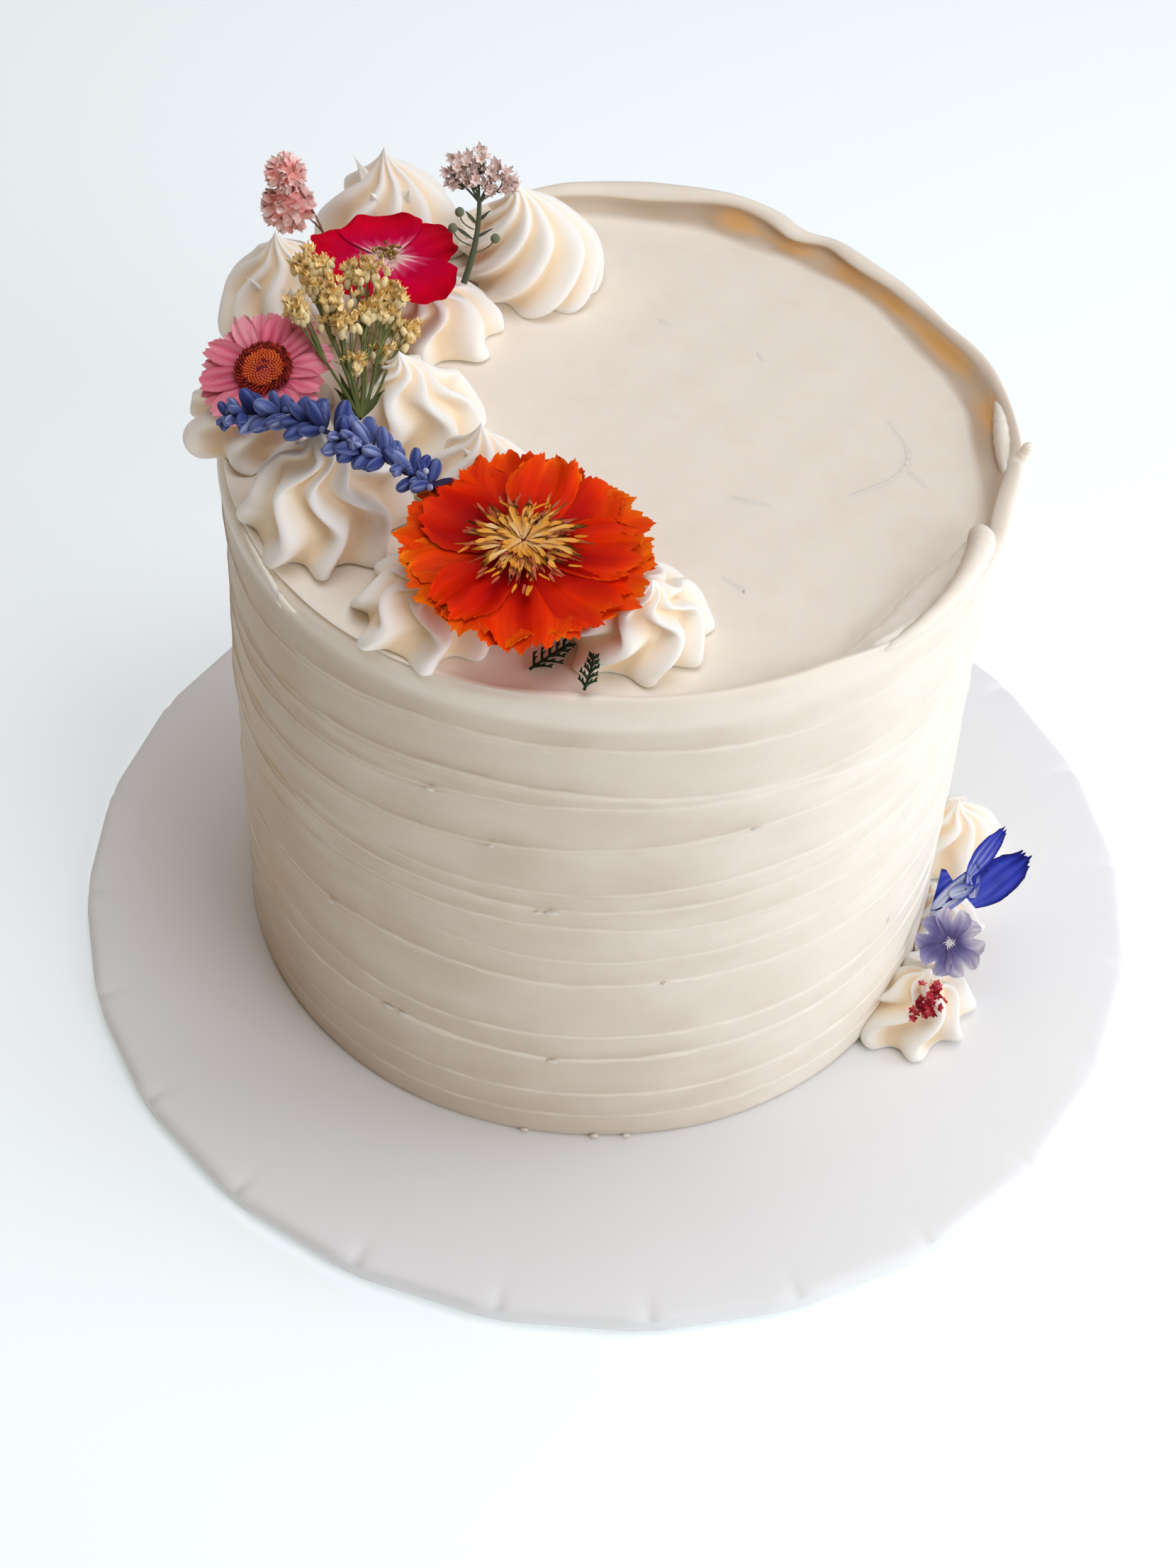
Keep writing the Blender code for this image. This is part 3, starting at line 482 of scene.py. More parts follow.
def top_relief(x, y):
    """Height of the knife's faint waves on the flat top."""
    return 0.16 * np.sin(x * 0.09 + 0.6) * np.cos(y * 0.07) + 0.07 * np.sin(x * 0.31 - y * 0.22)


def top_rows(angle, edge_radius):
    """Rows of the flat top from its edge towards the middle."""
    shares = np.concatenate([np.linspace(0.97, 0.3, 17), [0.2, 0.1]])
    radius = shares[:, None] * edge_radius[None, :]
    turn = np.broadcast_to(angle, radius.shape)
    x = radius * np.sin(turn)
    y = -radius * np.cos(turn)
    relief = top_relief(x, y) * smoothstep(0.0, 0.3, 1.0 - shares)[:, None]
    return radius, CAKE_TOP + relief


def make_cake(material):
    angle = np.linspace(-math.pi, math.pi, CAKE_COLUMNS, endpoint=False)
    side_radius, side_height, painted_light_tint = side_rows(angle)
    rim_radius, rim_height = rim_rows(angle, side_radius[-1])
    flat_radius, flat_height = top_rows(angle, rim_radius[-1])
    radius = np.concatenate([side_radius, rim_radius, flat_radius])
    height = np.concatenate([side_height, rim_height, flat_height])
    points = round_points(radius, np.broadcast_to(angle, radius.shape), height).reshape(-1, 3)
    # Painted light for each point: the side's painted shade and highlight, then the rim's painted golden
    # shade
    painted_light_per_point = np.zeros(radius.shape)
    painted_light_per_point[:len(side_radius)] = painted_light_tint
    first = len(side_radius)
    last = first + len(rim_radius)
    # Painted golden shade across the lip's inner wall, scaled by the rim table's last column
    rim_shade_profile = np.interp(np.arange(last - first), (16, 19, 22, 27, 31, 35), (0.0, 0.40, 0.9, 1.0, 0.7, 0.0))
    turn = np.broadcast_to(angle, (last - first, len(angle)))
    streaky = 0.93 + 0.1 * waves(25, 14, 40, 0.4, turn, 8.0 * rim_shade_profile[:, None])
    painted_light_per_point[first:last] = rim_shade_profile[:, None] * marks(RIM, 5, angle)[None, :] * streaky
    faces = closed_grid(len(radius), CAKE_COLUMNS, len(points), len(points) + 1)
    points = np.vstack([points, [[0.0, 0.0, CAKE_FOOT], [0.0, 0.0, CAKE_TOP]]])
    tint = np.concatenate([painted_light_per_point.reshape(-1), [0.0, 0.0]])
    obj = mesh_piece("iced_cake", points * MM + np.array(CAKE_AXIS), faces, material, tint)
    return finish_piece(obj, "ivory_icing", "cake")


# Swirls: name, x, y, foot height, radius, height, ribs, twist and start in degrees, wave in mm, waves from
# foot to tip, phase of the wave in degrees, lean x, lean y, depth of the valleys, how narrow the ropes are
SWIRLS = (
    ("swirl_01", -20.5, 53.5, CAKE_TOP, 16.0, 25.0, 9, 145, -8, 0.5, 1.0, 0, -4.5, 0.0, 0.27, 0.75),
    ("swirl_02", -52.5, 59.5, CAKE_TOP, 16.5, 26.5, 8, 25, 0, 1.2, 1.2, 40, -1.0, 1.0, 0.26, 0.9),
    ("swirl_03", -72.0, 31.0, CAKE_TOP, 16.0, 23.5, 8, -35, 20, 1.6, 1.3, 0, -2.0, 1.0, 0.28, 0.9),
    ("swirl_04", -41.0, 32.0, CAKE_TOP, 15.0, 13.5, 8, 25, 0, 1.8, 1.4, 90, 0.0, 0.0, 0.30, 1.0),
    ("swirl_05", -43.0, -1.0, CAKE_TOP, 15.5, 18.5, 8, 50, 12, 2.2, 1.6, 200, -2.0, 1.0, 0.30, 1.0),
    ("swirl_06", -74.0, -4.0, CAKE_TOP, 16.0, 15.0, 8, -30, 0, 2.2, 1.7, 120, 0.0, 0.0, 0.32, 1.1),
    ("swirl_07", -57.5, -33.0, CAKE_TOP, 17.5, 23.0, 8, -8, 14, 2.5, 1.9, 180, 0.0, 3.0, 0.33, 1.15),
    ("swirl_08", -26.5, -24.0, CAKE_TOP, 13.0, 19.0, 7, 35, 0, 1.0, 1.2, 0, 0.0, 2.0, 0.26, 0.9),
    ("swirl_09", -34.0, -58.0, CAKE_TOP, 16.5, 13.5, 8, -12, 6, 2.4, 1.8, 190, 0.0, 0.0, 0.34, 1.15),
    ("swirl_10", 6.0, -60.5, CAKE_TOP, 16.0, 15.5, 8, 30, 16, 2.3, 1.7, 150, 3.0, -1.0, 0.34, 1.1),
    ("base_swirl_01", 77.0, -42.0, 0.3, 15.0, 17.0, 7, 35, 0, 2.4, 1.6, 60, 3.0, 0.0, 0.34, 1.1),
    ("base_swirl_02", 82.5, -18.5, 0.3, 13.0, 18.6, 7, -30, 0, 1.6, 1.4, 0, 3.0, 0.0, 0.30, 1.0),
    ("base_swirl_03", 89.0, 10.0, 0.3, 14.0, 18.0, 7, 45, 0, 1.4, 1.4, 0, 0.0, 1.0, 0.30, 1.0),
)
SWIRL_OUTLINE = (
    (0.0, 0.0), (0.55, -0.01), (0.86, 0.0), (0.97, 0.055), (1.0, 0.17), (0.96, 0.30), (0.88, 0.41),
    (0.77, 0.51),
    (0.63, 0.60), (0.49, 0.675), (0.34, 0.75), (0.21, 0.82), (0.115, 0.885), (0.05, 0.945), (0.0, 1.0),
)
SWIRL_COLUMNS = 192
FOLD_SKEW = 0.55
VALLEY_SHADE = 0.62


def make_swirl(row, seed, material):
    """A piped star swirl: rounded ropes that sway between sharp valleys up to a thin leaning tip."""
    name, x, y, foot, radius, tall, ribs, twist, start = row[:9]
    wave, turns, phase, lean_x, lean_y, depth, narrow = row[9:]
    outline = [np.array(point) for point in SWIRL_OUTLINE]
    curve = np.array(catmull(outline, 5))
    share, up = curve[1:-1, 0], curve[1:-1, 1]
    share = np.maximum(share, 0.002)
    steps = np.hypot(np.diff(share, prepend=share[0]) * radius, np.diff(up, prepend=up[0]) * tall)
    steps[: int(np.argmax(share > 0.95))] = 0.0
    climb = (np.cumsum(steps) / steps.sum())[:, None]
    turn = np.linspace(0.0, TAU, SWIRL_COLUMNS, endpoint=False)
    draw = np.random.default_rng(seed)
    warp = turn + 0.06 * np.sin(2.0 * turn + draw.uniform(0, TAU))
    warp = warp + 0.05 * np.sin(3.0 * turn + draw.uniform(0, TAU))
    rope = (0.5 + 0.5 * np.cos(ribs * warp + FOLD_SKEW * np.sin(ribs * warp))) ** narrow
    crest = 1.0 - (1.0 - rope) ** 1.6
    level = np.clip(up, 0.0, 1.0)[:, None]
    uneven = 1.0 + 0.05 * np.sin(turn + draw.uniform(0, TAU))
    uneven = uneven + 0.04 * np.sin(2.0 * turn + draw.uniform(0, TAU))
    strength = depth * np.minimum(1.0, 0.55 + 1.2 * level) * (1.0 - level ** 6)
    ripple = 1.0 + 0.02 * np.sin(18.0 * climb + 3.0 * turn + draw.uniform(0, TAU))
    distance = radius * share[:, None] * (1.0 - strength * (1.0 - crest[None, :])) * uneven * ripple
    sway = draw.uniform(-0.5, 0.5, ribs)
    rib_sway = np.interp(warp * ribs / TAU, np.arange(ribs + 1), [*sway, sway[0]])
    room = np.maximum(distance, 4.5)
    swing = wave / room * np.cos(TAU * turns * climb + math.radians(phase) + rib_sway[None, :])
    wound = turn[None, :] + math.radians(start) + math.radians(twist) * level + swing
    height = tall * np.broadcast_to(up[:, None], distance.shape)
    toe = (1.0 - smoothstep(0.0, 0.25, level)) * crest[None, :] * 0.06 * radius
    distance = distance + toe * (share[:, None] > 0.8)
    points = round_points(distance, wound, height)
    points[..., 0] += x + lean_x * level ** 2
    points[..., 1] += y + lean_y * level ** 2
    points[..., 2] += foot
    along = smoothstep(0.0, 0.1, level) * (1.0 - smoothstep(0.8, 0.97, level))
    # Painted golden shade in the valleys between the ropes, fading at the foot and the tip
    tint = VALLEY_SHADE * (1.0 - crest[None, :]) ** 1.6 * along
    tint = np.broadcast_to(tint, distance.shape).reshape(-1)
    points = points.reshape(-1, 3)
    faces = closed_grid(len(share), SWIRL_COLUMNS, len(points), len(points) + 1)
    tip = [x + lean_x, y + lean_y, foot + tall]
    points = np.vstack([points, [[x, y, foot], tip]])
    obj = mesh_piece("piped_" + name, points * MM + np.array(CAKE_AXIS), faces, material, [*tint, 0.0, 0.0])
    return finish_piece(obj, "piped_icing", name)


class Sheaf:
    """Collects grids of points into one mesh, with a tint and a UV place for each point."""

    def __init__(self):
        self.points, self.faces, self.tints, self.places = [], [], [], []
        self.count = 0

    def add(self, points, tint, place=None, closed=False):
        rows, columns = points.shape[:2]
        self.points.append(points.reshape(-1, 3))
        self.faces.append(grid_faces(rows, columns, closed) + self.count)
        self.tints.append(np.broadcast_to(tint, (rows, columns)).reshape(-1))
        if place is None:
            across, along = np.meshgrid(np.linspace(0.0, 1.0, columns), np.linspace(0.0, 1.0, rows))
            place = np.stack([across, along], -1)
        self.places.append(place.reshape(-1, 2))
        self.count += rows * columns

    def build(self, name, material):
        """Makes the mesh; points are in millimetres from the cake's axis."""
        points = np.concatenate(self.points) * MM + np.array(CAKE_AXIS)
        obj = mesh_piece(name, points, np.concatenate(self.faces), material, np.concatenate(self.tints))
        layer = obj.data.uv_layers.new(name="place")
        corners = np.empty(len(obj.data.loops), dtype=np.int32)
        obj.data.loops.foreach_get("vertex_index", corners)
        layer.data.foreach_set("uv", np.concatenate(self.places)[corners].astype(np.float32).reshape(-1))
        return obj


def box_of(node):
    """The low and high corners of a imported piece, in millimetres from the cake's axis."""
    low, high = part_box(node)
    return (np.array(low) - np.array(CAKE_AXIS)) / MM, (np.array(high) - np.array(CAKE_AXIS)) / MM


def unit(vector):
    return vector / np.linalg.norm(vector)


def plane_axes(normal, guide=(0.0, 1.0, 0.0)):
    """Two axes in a plane, the first square to the guide, and its normal."""
    right = unit(np.cross(guide, normal))
    return np.stack([right, np.cross(normal, right), normal])


def plane_of(node):
    """The middle of a packed flower and the axes of the plane it lies in."""
    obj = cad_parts[node]
    points = np.array([list(vertex.co) for vertex in obj.data.vertices])
    low, high = box_of(node)
    normal = np.linalg.svd(points - points.mean(axis=0), full_matrices=False)[2][2]
    return (low + high) / 2.0, plane_axes(normal * math.copysign(1.0, normal[2]))


def lay(points, centre, axes):
    return centre + points @ axes


def turned_by(points, degrees):
    """Turns points in the plane so that +Y points to an angle counted from +X."""
    angle = math.radians(degrees - 90.0)
    cos, sin = math.cos(angle), math.sin(angle)
    x, y = points[..., 0], points[..., 1]
    return np.stack([x * cos - y * sin, x * sin + y * cos, points[..., 2]], -1)


def petal(length, widths, seed, tip=0.18, notch=0.0, teeth=0.0, ruffle=0.0, cup=0.0, rise=0.0, root=0.0,
          columns=22, rows=26):
    """One petal along +Y: widths from root to tip, a round, notched or toothed end, ruffles and a cup."""
    draw = np.random.default_rng(seed)
    v = np.linspace(0.0, 1.0, rows)[:, None]
    u = np.linspace(-1.0, 1.0, columns)[None, :]
    width = np.interp(v, np.linspace(0.0, 1.0, len(widths)), widths)
    width = 0.5 * (width + np.interp(v + 0.06, np.linspace(0.0, 1.0, len(widths)), widths))
    phase = draw.uniform(0.0, TAU, 8)
    jag = 0.5 * np.sin(11.0 * u + phase[0]) + 0.3 * np.sin(19.0 * u + phase[1])
    jag = jag + 0.4 * np.sin(6.0 * u + phase[2]) + 0.5 * draw.uniform(-1.0, 1.0, columns)[None, :]
    end = 1.0 - tip * np.abs(u) ** 2.6 - notch * np.exp(-(u / 0.22) ** 2) + teeth * jag
    y = root + length * v * (1.0 + (end - 1.0) * v ** 2)
    side = 1.0 + 0.35 * teeth * np.sin(14.0 * v + phase[3])
    side = side + 0.6 * teeth * draw.uniform(-1, 1, rows)[:, None] * v
    x = u * width * side + 0.04 * length * np.sin(3.0 * v + phase[4]) * draw.uniform(-0.6, 0.6)
    z = rise * v + cup * u ** 2 * np.sqrt(v)
    z = z + ruffle * v ** 1.5 * (np.sin(4.2 * u + phase[5]) + 0.5 * np.sin(9.0 * u + 3.0 * v + phase[6]))
    return np.stack([x, y, z + 0.0 * u], -1), u + 0.0 * v, v + 0.0 * u


def tube(path, radii, sides=6):
    """A grid round a path; the ends narrow to their given radii."""
    path = np.asarray(path, float)
    radii = np.broadcast_to(radii, (len(path),))
    along = np.gradient(path, axis=0)
    along /= np.linalg.norm(along, axis=1)[:, None]
    guide = np.array([0.31, 0.87, 0.38])
    first = np.cross(along, guide)
    first /= np.linalg.norm(first, axis=1)[:, None]
    second = np.cross(along, first)
    turn = np.linspace(0.0, TAU, sides, endpoint=False)
    ring = first[:, None] * np.cos(turn)[None, :, None] + second[:, None] * np.sin(turn)[None, :, None]
    return path[:, None] + ring * radii[:, None, None]


def bow(start, end, sag, steps=8):
    """A path from start to end that bows by the vector sag."""
    t = np.linspace(0.0, 1.0, steps)[:, None]
    start, end, sag = np.asarray(start), np.asarray(end), np.asarray(sag)
    return start + (end - start) * t + sag * 4.0 * t * (1.0 - t)


def bead(centre, radii, axis, rings=7, sides=8):
    """An egg along an axis."""
    axis = np.asarray(axis, float) / np.linalg.norm(axis)
    bow_angle = np.linspace(0.03, math.pi - 0.03, rings)
    path = np.asarray(centre) - axis * np.cos(bow_angle)[:, None] * radii[1]
    guide = np.array([0.31, 0.87, 0.38]) if abs(axis[1]) < 0.8 else np.array([0.9, 0.1, 0.3])
    first = np.cross(axis, guide)
    first /= np.linalg.norm(first)
    second = np.cross(axis, first)
    turn = np.linspace(0.0, TAU, sides, endpoint=False)
    ring = first * np.cos(turn)[:, None] + second * np.sin(turn)[:, None]
    return path[:, None] + ring[None] * (np.sin(bow_angle) * radii[0])[:, None, None]


# Looks of the petals: colours by tint, streak colour, its share, roughness, streaks across and soak
PETAL_LOOKS = {
    "orange_petal": (
        ((0.0, (0.30, 0.0, 0.002)), (0.22, (0.55, 0.006, 0.001)), (0.45, (0.82, 0.026, 0.001)),
         (0.72, (0.94, 0.075, 0.002)), (1.0, (1.0, 0.22, 0.005))),
        (0.42, 0.006, 0.001), 0.28, 0.45, 12.0, 0.12),
    "golden_stamen": (
        ((0.0, (0.95, 0.64, 0.32)), (0.3, (0.98, 0.50, 0.11)), (0.55, (0.96, 0.35, 0.03)),
         (0.72, (0.20, 0.08, 0.012)), (0.85, (0.02, 0.012, 0.008)), (0.9, (0.62, 0.12, 0.06)),
         (1.0, (0.65, 0.14, 0.07))),
        (0.30, 0.16, 0.03), 0.35, 0.6, 3.0, 0.12),
    "red_petal": (
        ((0.0, (0.92, 0.72, 0.60)), (0.17, (0.90, 0.58, 0.54)), (0.26, (0.74, 0.07, 0.18)),
         (0.42, (0.60, 0.0, 0.05)), (0.8, (0.68, 0.0, 0.022)), (1.0, (0.55, 0.0, 0.014))),
        (0.38, 0.0, 0.014), 0.22, 0.5, 9.0, 0.12),
    "brown_stamen": (
        ((0.0, (0.55, 0.42, 0.18)), (0.5, (0.42, 0.27, 0.07)), (1.0, (0.12, 0.06, 0.015))),
        (0.2, 0.1, 0.03), 0.2, 0.6, 3.0, 0.12),
    "pink_petal": (
        ((0.0, (0.30, 0.02, 0.07)), (0.3, (0.70, 0.11, 0.19)), (0.65, (0.88, 0.29, 0.35)),
         (1.0, (0.93, 0.48, 0.55))),
        (0.58, 0.08, 0.16), 0.32, 0.55, 7.0, 0.12),
    "daisy_middle": (
        ((0.0, (0.10, 0.012, 0.012)), (0.35, (0.44, 0.045, 0.03)), (0.7, (0.82, 0.14, 0.035)),
         (1.0, (0.88, 0.24, 0.06))),
        (0.40, 0.05, 0.02), 0.2, 0.6, 3.0, 0.12),
    "violet_petal": (
        ((0.0, (0.85, 0.82, 0.80)), (0.05, (0.80, 0.76, 0.78)), (0.11, (0.06, 0.05, 0.14)),
         (0.42, (0.14, 0.12, 0.28)), (0.72, (0.34, 0.31, 0.46)), (1.0, (0.66, 0.60, 0.68))),
        (0.12, 0.10, 0.24), 0.35, 0.5, 6.0, 0.12),
    "blue_petal": (
        ((0.0, (0.008, 0.01, 0.09)), (0.25, (0.03, 0.045, 0.42)), (0.6, (0.10, 0.13, 0.62)),
         (0.8, (0.40, 0.46, 0.72)), (1.0, (0.72, 0.76, 0.82))),
        (0.03, 0.03, 0.30), 0.45, 0.5, 6.0, 0.12),
    "crimson_blossom": (
        ((0.0, (0.09, 0.01, 0.015)), (0.4, (0.36, 0.01, 0.03)), (0.75, (0.66, 0.05, 0.07)),
         (1.0, (0.80, 0.22, 0.20))),
        (0.2, 0.02, 0.02), 0.3, 0.6, 3.0, 0.12),
    "yellow_floret": (
        ((0.0, (0.42, 0.38, 0.18)), (0.25, (0.88, 0.74, 0.42)), (0.55, (1.0, 0.84, 0.48)),
         (0.8, (1.0, 0.72, 0.28)), (1.0, (0.84, 0.40, 0.06))),
        (0.56, 0.42, 0.14), 0.12, 0.65, 3.0, 0.0),
    "green_stem": (
        ((0.0, (0.045, 0.065, 0.02)), (0.5, (0.13, 0.15, 0.05)), (1.0, (0.25, 0.25, 0.10))),
        (0.05, 0.06, 0.02), 0.3, 0.6, 3.0, 0.12),
    "pale_floret": (
        ((0.0, (0.36, 0.24, 0.16)), (0.3, (0.90, 0.64, 0.54)), (0.6, (1.0, 0.78, 0.72)),
         (1.0, (1.0, 0.88, 0.83))),
        (0.56, 0.38, 0.31), 0.12, 0.65, 3.0, 0.0),
    "grey_green_stem": (
        ((0.0, (0.05, 0.065, 0.04)), (0.5, (0.15, 0.17, 0.11)), (1.0, (0.26, 0.30, 0.18))),
        (0.06, 0.07, 0.04), 0.3, 0.6, 3.0, 0.12),
    "pink_blossom": (
        ((0.0, (0.80, 0.22, 0.20)), (0.3, (1.0, 0.44, 0.39)), (0.65, (1.0, 0.62, 0.56)),
         (1.0, (1.0, 0.84, 0.79))),
        (0.86, 0.30, 0.29), 0.1, 0.6, 3.0, 0.0),
    "pink_stem": (
        ((0.0, (0.26, 0.12, 0.09)), (1.0, (0.42, 0.20, 0.16))),
        (0.2, 0.1, 0.08), 0.2, 0.6, 3.0, 0.12),
    "blue_bud": (
        ((0.0, (0.02, 0.024, 0.11)), (0.35, (0.05, 0.07, 0.23)), (0.65, (0.16, 0.20, 0.41)),
         (0.85, (0.36, 0.41, 0.66)), (1.0, (0.72, 0.74, 0.84))),
        (0.04, 0.05, 0.20), 0.45, 0.6, 5.0, 0.12),
    "dark_stem": (
        ((0.0, (0.03, 0.02, 0.06)), (1.0, (0.10, 0.09, 0.16))),
        (0.02, 0.015, 0.04), 0.3, 0.6, 3.0, 0.12),
    "fern_needles": (
        ((0.0, (0.010, 0.02, 0.008)), (0.5, (0.022, 0.042, 0.018)), (1.0, (0.06, 0.09, 0.04))),
        (0.01, 0.015, 0.006), 0.3, 0.6, 3.0, 0.12),
}


def petal_material(name, look=None):
    """A pressed petal: colours from root to rim by the tint, fine veins along it and mottled patches."""
    stops, streak, streak_amount, roughness, streaks, soak = PETAL_LOOKS[look or name]
    material, nodes, links, shader = new_material(name, roughness)
    shader.inputs["Specular IOR Level"].default_value = 0.03
    shader.inputs["Subsurface Weight"].default_value = soak
    shader.inputs["Subsurface Radius"].default_value = (1.0, 0.5, 0.4)
    shader.inputs["Subsurface Scale"].default_value = (0.5 + 2.0 * soak) * MM
    base = ramp(nodes, links, tint_of(nodes), stops)
    place = nodes.new("ShaderNodeUVMap")
    place.uv_map = "place"
    stretch = stretched(nodes, links, place.outputs["UV"], (streaks, 1.1, 1.0))
    vein = noise(nodes, links, 1.6, 5.0, stretch)
    line = ramp(nodes, links, vein, ((0.40, (0.0, 0.0, 0.0)), (0.62, WHITE)))
    base = mix(nodes, links, combine(nodes, links, "MULTIPLY", line, streak_amount), base, streak)
    mottle = noise(nodes, links, 260.0, 5.0, object_place(nodes))
    cloud = ramp(nodes, links, mottle, ((0.32, (0.78, 0.78, 0.78)), (0.62, WHITE)))
    base = mix(nodes, links, 0.55, base, cloud, "MULTIPLY")
    links.new(base, shader.inputs["Base Color"])
    bump(nodes, links, vein, 0.35, 0.25 * MM, shader)
    return material


# Pressed flowers. Petals: direction in degrees from +X, length and half width in millimetres
ORANGE_PETALS = (
    (95, 25.0, 11.0), (20, 25.2, 12.0), (130, 22.2, 10.5), (345, 25.0, 11.5), (170, 24.2, 12.0),
    (211, 23.0, 11.5),
    (300, 22.4, 11.0), (58, 22.6, 11.5), (250, 23.4, 11.0), (275, 24.4, 9.0), (322, 22.8, 10.5),
    (77, 22.8, 7.5),
    (150, 21.4, 8.5), (2, 22.2, 8.0), (230, 21.8, 7.0),
)
ORANGE_STAMENS = 120
ORANGE_TIPS = 40
RED_PETALS = ((172, 17.6, 6.6), (24, 15.6, 7.2), (104, 13.4, 9.0), (-50, 19.0, 8.8), (-124, 16.8, 8.0))

RED_STAMENS = 60
DAISY_PETALS = 19
DAISY_LENGTH = 14.6
DAISY_GRAINS = 330
DAISY_MIDDLE = 5.9
DAISY_RING = 0.72
VIOLET_PETALS = 5
VIOLET_LENGTH = 8.3
VIOLET_HALF_WIDTH = 4.3


def make_orange_flower():
    centre, axes = plane_of("orange_flower")
    centre = centre - axes[2] * 1.2 + np.array([-1.1, 0.2, 0.0])
    draw = np.random.default_rng(11)
    sheaf = Sheaf()
    for layer, (direction, length, half) in enumerate(ORANGE_PETALS):
        widths = (0.8, 0.34 * half, 0.62 * half, 0.84 * half, 0.98 * half, half, 0.86 * half)
        points, u, v = petal(length, widths, 300 + layer, tip=0.13, teeth=0.055, ruffle=0.45, rise=1.6,
                             columns=48, rows=34)
        points[..., 2] += 0.16 * layer - 1.1 + 0.25 * np.sin(7.0 * u + layer)
        shade = 0.11 * draw.normal() + 0.09 * np.sin(6.0 * u + 4.0 * v + layer) * v
        dark = 0.20 * np.exp(-((u - draw.uniform(-0.6, 0.6)) / 0.25) ** 2) * (1.0 - v ** 3)
        rim = 0.16 * np.abs(u) ** 9 + 0.14 * v ** 14
        tint = np.clip(0.22 + 0.40 * v ** 1.3 + shade - dark + rim, 0.0, 1.0)
        sheaf.add(lay(turned_by(points, direction), centre, axes), tint)
    material = petal_material("orange_petal")
    finish_piece(sheaf.build("orange_bloom", material), "orange_petal", "orange_flower")
    sheaf = Sheaf()
    for index in range(ORANGE_STAMENS):
        direction = draw.uniform(0.0, 360.0)
        reach = draw.uniform(5.0, 12.8) * (1.0 + 0.12 * math.cos(math.radians(2.0 * direction)))
        start = draw.uniform(0.2, 0.45 * reach)
        widths = (0.16, 0.30, 0.42, 0.55, 0.62, 0.34, 0.08)
        points, _, v = petal(reach - start, widths, 500 + index, tip=0.3, teeth=0.05, ruffle=0.25,
                             cup=0.25, rise=1.0, root=start, columns=5, rows=9)
        points[..., 0] += draw.normal() * 1.1 * v ** 2
        points[..., 2] += 2.9 + draw.uniform(0.0, 1.4) + 0.6 * np.sin(3.0 * v + draw.uniform(0.0, 2.0))
        tone = 0.10 + 0.50 * v + 0.12 * draw.normal()
        tip_dark = (v > 0.74) * draw.uniform(0.15, 0.45)
        sheaf.add(lay(turned_by(points, direction), centre, axes), np.clip(tone + tip_dark, 0.0, 1.0))
    for index in range(ORANGE_TIPS):
        direction = draw.uniform(0.0, 360.0)
        reach = draw.uniform(9.0, 14.0)
        points, _, v = petal(2.6, (0.16, 0.34, 0.30, 0.2), 700 + index, rise=0.3, root=reach - 3.0,
                             columns=4, rows=5)
        points[..., 0] += draw.normal() * 0.8 * v
        points[..., 2] += 3.3 + draw.uniform(0.0, 0.6)
        tint = np.full(v.shape, draw.choice([0.93, 0.55]))
        sheaf.add(lay(turned_by(points, direction), centre, axes), tint)
    finish_piece(sheaf.build("orange_bloom_stamens", petal_material("golden_stamen")), "yellow_blossom")


def make_red_flower():
    centre, axes = plane_of("red_flower")
    centre = centre + np.array([-1.6, -1.0, 0.0])
    draw = np.random.default_rng(12)
    sheaf = Sheaf()
    for layer, (direction, length, half) in enumerate(RED_PETALS):
        widths = (1.0, 0.40 * half, 0.68 * half, 0.90 * half, half, half, 0.80 * half)
        points, u, v = petal(length, widths, 820 + layer, tip=0.20, notch=0.05, teeth=0.006, ruffle=0.5,
                             rise=0.8, cup=0.5, columns=30, rows=32)
        points[..., 2] += 0.22 * layer - 0.8
        ray = 0.07 * np.sin(17.0 * u + layer) + 0.05 * np.sin(31.0 * u)
        tint = np.clip(v + ray * (1.0 - v) + 0.04 * draw.normal() * v, 0.0, 1.0)
        sheaf.add(lay(turned_by(points, direction), centre, axes), tint)
    finish_piece(sheaf.build("red_bloom", petal_material("red_petal")), "red_petal", "red_flower")
    sheaf = Sheaf()
    for _ in range(RED_STAMENS):
        direction = draw.uniform(0.0, TAU)
        reach = draw.uniform(0.3, 3.1)
        lift = 0.7 + draw.uniform(0.0, 0.9)
        spot = np.array([reach * math.cos(direction), reach * math.sin(direction), lift])
        grain = bead(spot, (draw.uniform(0.22, 0.42), draw.uniform(0.3, 0.6)), draw.normal(size=3), 5, 6)
        sheaf.add(lay(grain, centre, axes), draw.uniform(0.0, 1.0), closed=True)
    finish_piece(sheaf.build("red_bloom_stamens", petal_material("brown_stamen")), "yellow_blossom")


